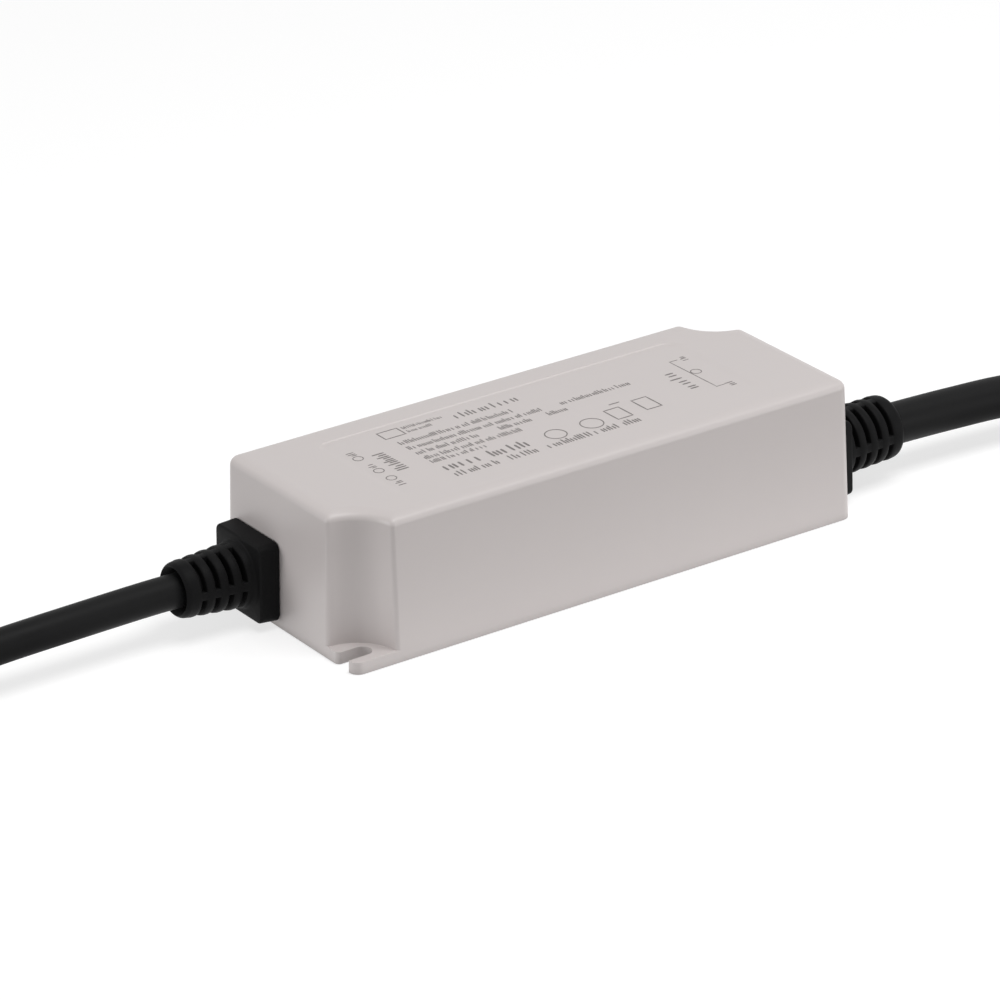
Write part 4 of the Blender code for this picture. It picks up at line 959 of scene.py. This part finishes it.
class DRIVER_OT_glands(bpy.types.Operator):
    """Build the two flanged glands with their slotted boots"""

    bl_idname = "driver.glands"
    bl_label = "Glands"

    def execute(self, context):
        case = context.scene.driver_case
        gland = context.scene.driver_gland
        cables = context.scene.driver_cables
        rubber = grained("gland_rubber", gland.color, 0.5, grain_mm=0.25, cloud_mm=9.0, mottle=0.2,
                         spread=0.12, bump=0.25, depth_mm=0.02, specular=0.04)
        for label, side, root, tip, shift, thinner in GLANDS:
            radius = getattr(cables, f"{label}_diameter") / 2
            placed = gland_frame(case, gland, side, gland_middle(label))
            mesh = make_gland_mesh(gland, placed, root, tip, radius, shift, thinner)
            body = finished_object(f"{label}_gland_body", mesh, rubber)
            body.data.shade_smooth()
            body.data.set_sharp_from_angle(angle=radians(50))
            take_nodes(body, "gland_rubber", f"{label}_gland")
        return {"FINISHED"}


# Cables

def cable_path(case, gland, label, side, route):
    placed = gland_frame(case, gland, side, gland_middle(label))
    reach = gland.flange_thickness + gland.boot_length - gland.mouth_depth + MOUTH_GAP
    first = placed @ Vector((0.0, 0.0, reach))
    stops = [(side * (case.length / 2 + out), first.y + aside, height) for out, aside, height in route]
    return [first, *stops]


def core_layout(tail, cables, count):
    """Each core's route beyond the jacket and the heading of its tip, as the solids have them."""
    before, end = tail
    out = (end - before).normalized()
    aside = Vector((-out.y, out.x, 0.0)).normalized()
    gap = CORE_GAP
    spacing = 2 * cables.core_radius + gap
    layouts = []
    for index in range(count):
        offset = index - (count - 1) / 2
        start = end + out * gap + aside * offset * spacing
        bend = start + out * cables.core_length * 0.4 + aside * offset * CORE_BEND
        stop = start + out * cables.core_length + aside * offset * CORE_SPREAD
        stop.z = cables.core_radius + gap
        bend.z = (start.z + stop.z) / 2
        coarse = smooth_route([start, bend, stop], 4 * cables.core_radius)
        heading = coarse[-1] - coarse[-2]
        heading.z = 0.0
        route = [start - out * 3 * gap, *smooth_route([start, bend, stop], 0.002)]
        layouts.append((route, heading.normalized()))
    return layouts


def strand_tree(material):
    """Geometry nodes for a tinned end: strands wound round a middle one, along +Z from the origin."""
    tree, given, leave = new_group(
        "wound_strands", "GeometryNodeTree",
        (("Geometry", "Geometry"), ("Radius", "Float", 0.0007), ("Length", "Float", 0.007),
         ("Turns", "Float", 0.8), ("Strands", "Int", 6)),
        (("Geometry", "Geometry"),))
    lane = add_math(tree, "MULTIPLY", given["Radius"], 0.66)
    spiral = add_node(tree, "GeometryNodeCurveSpiral", {
        "Resolution": 14, "Start Radius": lane, "End Radius": lane, "Height": given["Length"],
        "Rotations": given["Turns"]})
    thickness = add_math(tree, "MULTIPLY", given["Radius"], 0.34)
    section = add_node(tree, "GeometryNodeCurvePrimitiveCircle", {
        "Resolution": 10, "Radius": thickness})
    outer = add_node(tree, "GeometryNodeCurveToMesh", {
        "Curve": spiral, "Profile Curve": section, "Fill Caps": True})
    points = add_node(tree, "GeometryNodePoints", {"Count": given["Strands"]})
    share = add_math(tree, "DIVIDE", add_node(tree, "GeometryNodeInputIndex"), given["Strands"])
    turn = add_node(tree, "ShaderNodeCombineXYZ", {"Z": add_math(tree, "MULTIPLY", share, 2 * pi)})
    angle = add_node(tree, "FunctionNodeEulerToRotation", {"Euler": turn})
    wound = add_node(tree, "GeometryNodeInstanceOnPoints", {
        "Points": points, "Instance": outer, "Rotation": angle})
    reach = add_node(tree, "ShaderNodeCombineXYZ", {"Z": given["Length"]})
    line = add_node(tree, "GeometryNodeCurvePrimitiveLine", {"End": reach})
    middle = add_node(tree, "GeometryNodeCurveToMesh", {
        "Curve": line, "Profile Curve": section, "Fill Caps": True})
    whole = add_node(tree, "GeometryNodeJoinGeometry", {"Geometry": wound})
    set_inputs(whole.node, {"Geometry": middle})
    smooth = add_node(tree, "GeometryNodeSetShadeSmooth", {"Geometry": whole})
    return painted(leave, smooth, material)


# Name, side, route and cores, each core with its material slot
CABLES = (
    ("input", -1, INPUT_ROUTE, (
        ("live", "insulation_brown"), ("earth", "insulation_green_yellow"),
        ("neutral", "insulation_blue"))),
    ("output", 1, OUTPUT_ROUTE, (
        ("positive", "insulation_red"), ("negative", "insulation_black"))),
)


class DRIVER_OT_cables(bpy.types.Operator):
    """Lay the two cables with their stripped cores and tinned ends"""

    bl_idname = "driver.cables"
    bl_label = "Cables"

    def execute(self, context):
        case = context.scene.driver_case
        gland = context.scene.driver_gland
        cables = context.scene.driver_cables
        jacket = grained("jacket_black", cables.color, 0.48, grain_mm=0.3, cloud_mm=12.0,
                         mottle=0.6, spread=0.3, bump=0.25, depth_mm=0.03, specular=0.06)
        tinned = grained("tinned_copper", (0.62, 0.61, 0.57), 0.3, grain_mm=0.2, cloud_mm=2.0,
                         mottle=0.15, bump=0.2, depth_mm=0.01, metallic=1.0)
        strands = strand_tree(tinned)
        for label, side, route, cores in CABLES:
            diameter = getattr(cables, f"{label}_diameter")
            radius = diameter / 2
            stops = cable_path(case, gland, label, side, route)
            path = smooth_route(stops, 0.003)
            start_end = [(0.0, radius * 0.5)]
            bore = radius - JACKET_WALL
            cut_end = [(0.00025, radius - CUT_ROUND), (0.0003, bore), (-0.0006, bore),
                       (-0.0006, 0.0004)]
            cord = tube_object(f"{label}_cable_jacket", path, radius, 40, jacket,
                               (start_end, cut_end))
            cord.data.set_sharp_from_angle(angle=radians(50))
            take_nodes(cord, "jacket_black", f"{label}_cable")
            pieces = []
            tail = smooth_route(stops, 2 * diameter)[-2:]
            for (core, slot), layout in zip(cores, core_layout(tail, cables, len(cores))):
                finish = bpy.data.materials[slot]
                core_path, heading = layout
                rounded = [(CUT_ROUND, cables.core_radius - CUT_ROUND), (0.00025, 0.0002)]
                wire = tube_object(f"{core}_core_insulation", core_path, cables.core_radius, 20,
                                   finish, ([(0.0, 0.0004)], rounded))
                take_nodes(wire, slot, f"{core}_core")
                tip = grown(f"{core}_core_strands", bpy.data.meshes.new("strands"), strands, tinned,
                            Radius=cables.tip_radius, Length=cables.tip_length + TIP_OVERLAP,
                            Turns=0.8, Strands=6)
                turn = heading.to_track_quat("Z", "Y").to_matrix().to_4x4()
                tip.data.transform(Matrix.Translation(core_path[-1]) @ turn)
                take_nodes(tip, "tinned_copper", f"{core}_core_tip")
                pieces += [wire, tip]
        return {"FINISHED"}


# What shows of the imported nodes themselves

class DRIVER_OT_inner_parts(bpy.types.Operator):
    """Give the base cover and the parts inside the case their finishes"""

    bl_idname = "driver.inner_parts"
    bl_label = "Inner parts"

    def execute(self, context):
        finishes = {}
        for slot, (color, roughness, metallic) in INNER_FINISHES.items():
            if slot == "insulation_green_yellow":
                finishes[slot] = striped(slot, color, (0.75, 0.6, 0.03), roughness)
            else:
                finishes[slot] = grained(slot, color, roughness, metallic=metallic)
        for row in frame["record"]["subparts"]:
            node = frame["nodes"][row["node"]]
            finish = finishes.get(row["material_slot"])
            if finish is None:
                continue
            node.data.materials.clear()
            node.data.materials.append(finish)
        return {"FINISHED"}


# Stage

def area_lamp(name, power, size, place, target):
    light = bpy.data.lights.new(name, "AREA")
    light.shape = "RECTANGLE"
    light.size, light.size_y = size
    light.energy = power
    lamp = bpy.data.objects.new(name, light)
    lamp.location = place
    lamp.rotation_mode = "QUATERNION"
    lamp.rotation_quaternion = (Vector(target) - Vector(place)).to_track_quat("-Z", "Y")
    bpy.context.scene.collection.objects.link(lamp)
    return lamp


def add_bounce(brightness, gap, reach):
    """Four strips of light on the paper round the case, which the camera doesn't see."""
    half_x = CASE_HIGH.x + (gap + reach) / 2
    half_y = CASE_HIGH.y + (gap + reach) / 2
    length = 2 * (CASE_HIGH.x + reach)
    width = 2 * (CASE_HIGH.y + gap)
    strips = (
        ("front", 0.0, -half_y, length, reach - gap),
        ("back", 0.0, half_y, length, reach - gap),
        ("input", -half_x, 0.0, reach - gap, width),
        ("output", half_x, 0.0, reach - gap, width),
    )
    for name, x, y, size_x, size_y in strips:
        power = pi * size_x * size_y * brightness
        lamp = area_lamp(f"bounce_{name}", power, (size_x, size_y), (x, y, -FLOOR_STEP), (x, y, 1.0))
        lamp.visible_camera = False


def seen_rays(tree):
    """1 for the rays that should find a white room: straight, reflected and refracted ones."""
    rays = add_node(tree, "ShaderNodeLightPath").node.outputs
    first = add_math(tree, "MAXIMUM", rays["Is Camera Ray"], rays["Is Glossy Ray"])
    return add_math(tree, "MAXIMUM", first, rays["Is Transmission Ray"])


def make_floor(stage):
    """A round floor that is white to the camera and keeps the object's shadow."""
    material, tree, shader = new_material("floor_white")
    set_inputs(shader, {"Base Color": (*stage.floor_color, 1.0), "Roughness": 0.9,
                        "Specular IOR Level": 0.0})
    level = add_math(tree, "MULTIPLY", seen_rays(tree), stage.floor_glow)
    glow = add_node(tree, "ShaderNodeEmission", {"Color": WHITE, "Strength": level})
    both = add_node(tree, "ShaderNodeAddShader", {0: shader.outputs["BSDF"], 1: glow})
    set_inputs(tree.nodes["Material Output"], {"Surface": both})
    bm = bmesh.new()
    bmesh.ops.create_circle(bm, cap_ends=True, segments=96, radius=stage.floor_radius,
                            matrix=Matrix.Translation((0.0, 0.0, -2 * FLOOR_STEP)))
    finished_object("floor", bm, material)


def make_world(strength):
    world = bpy.data.worlds.new("studio")
    bpy.context.scene.world = world
    world.use_nodes = True
    tree = world.node_tree
    level = add_node(tree, "ShaderNodeMix", {"Factor": seen_rays(tree), "A": strength, "B": 1.0},
                     output="Result", data_type="FLOAT")
    set_inputs(tree.nodes["Background"], {"Color": WHITE, "Strength": level})


def make_camera(lens):
    data = bpy.data.cameras.new("photo_camera")
    data.lens = lens
    data.sensor_width = 36.0
    data.clip_start = 0.01
    data.clip_end = 50.0
    camera = bpy.data.objects.new("photo_camera", data)
    camera.matrix_world = (Matrix.Translation(CAMERA_PLACE) @ Matrix.Rotation(-CAMERA_YAW, 4, "Z")
                           @ Matrix.Rotation(pi / 2 + CAMERA_PITCH, 4, "X")
                           @ Matrix.Rotation(CAMERA_ROLL, 4, "Z"))
    bpy.context.scene.collection.objects.link(camera)
    bpy.context.scene.camera = camera


class DRIVER_OT_stage(bpy.types.Operator):
    """Set up the floor, the lamps, the world and the camera"""

    bl_idname = "driver.stage"
    bl_label = "Stage"

    def execute(self, context):
        stage = context.scene.driver_stage
        for name, power, place in SOFT_BOXES:
            area_lamp(name, getattr(stage, power), (SOFT_BOX_SIDE, SOFT_BOX_SIDE), place, LAMP_TARGET)
        add_bounce(stage.bounce, stage.bounce_gap, stage.bounce_reach)
        make_floor(stage)
        make_world(stage.world)
        make_camera(stage.lens)
        context.scene.view_settings.view_transform = "Standard"
        return {"FINISHED"}


class DRIVER_PT_panel(bpy.types.Panel):
    """Lists the steps that build the driver"""

    bl_idname = "DRIVER_PT_panel"
    bl_label = "LED driver"
    bl_space_type = "VIEW_3D"
    bl_region_type = "UI"
    bl_category = "Driver"

    def draw(self, context):
        for step in STEPS:
            self.layout.operator(step.bl_idname)


STEPS = (DRIVER_OT_inner_parts, DRIVER_OT_case, DRIVER_OT_print, DRIVER_OT_glands,
         DRIVER_OT_cables, DRIVER_OT_stage)
GROUPS = (
    ("driver_case", CaseSettings),
    ("driver_gland", GlandSettings),
    ("driver_cables", CableSettings),
    ("driver_stage", StageSettings),
)


def register():
    for name, group in GROUPS:
        bpy.utils.register_class(group)
        setattr(bpy.types.Scene, name, PointerProperty(type=group))
    for step in STEPS:
        bpy.utils.register_class(step)
    bpy.utils.register_class(DRIVER_PT_panel)


def unregister():
    bpy.utils.unregister_class(DRIVER_PT_panel)
    for step in reversed(STEPS):
        bpy.utils.unregister_class(step)
    for name, group in reversed(GROUPS):
        delattr(bpy.types.Scene, name)
        bpy.utils.unregister_class(group)


def main():
    register()
    for name in ("Cube", "Light", "Camera"):
        item = bpy.data.objects.get(name)
        if item:
            bpy.data.objects.remove(item, do_unlink=True)
    bpy.ops.driver.inner_parts()
    bpy.ops.driver.case()
    bpy.ops.driver.roof_print()
    bpy.ops.driver.glands()
    bpy.ops.driver.cables()
    bpy.ops.driver.stage()


if __name__ == "__main__":
    main()
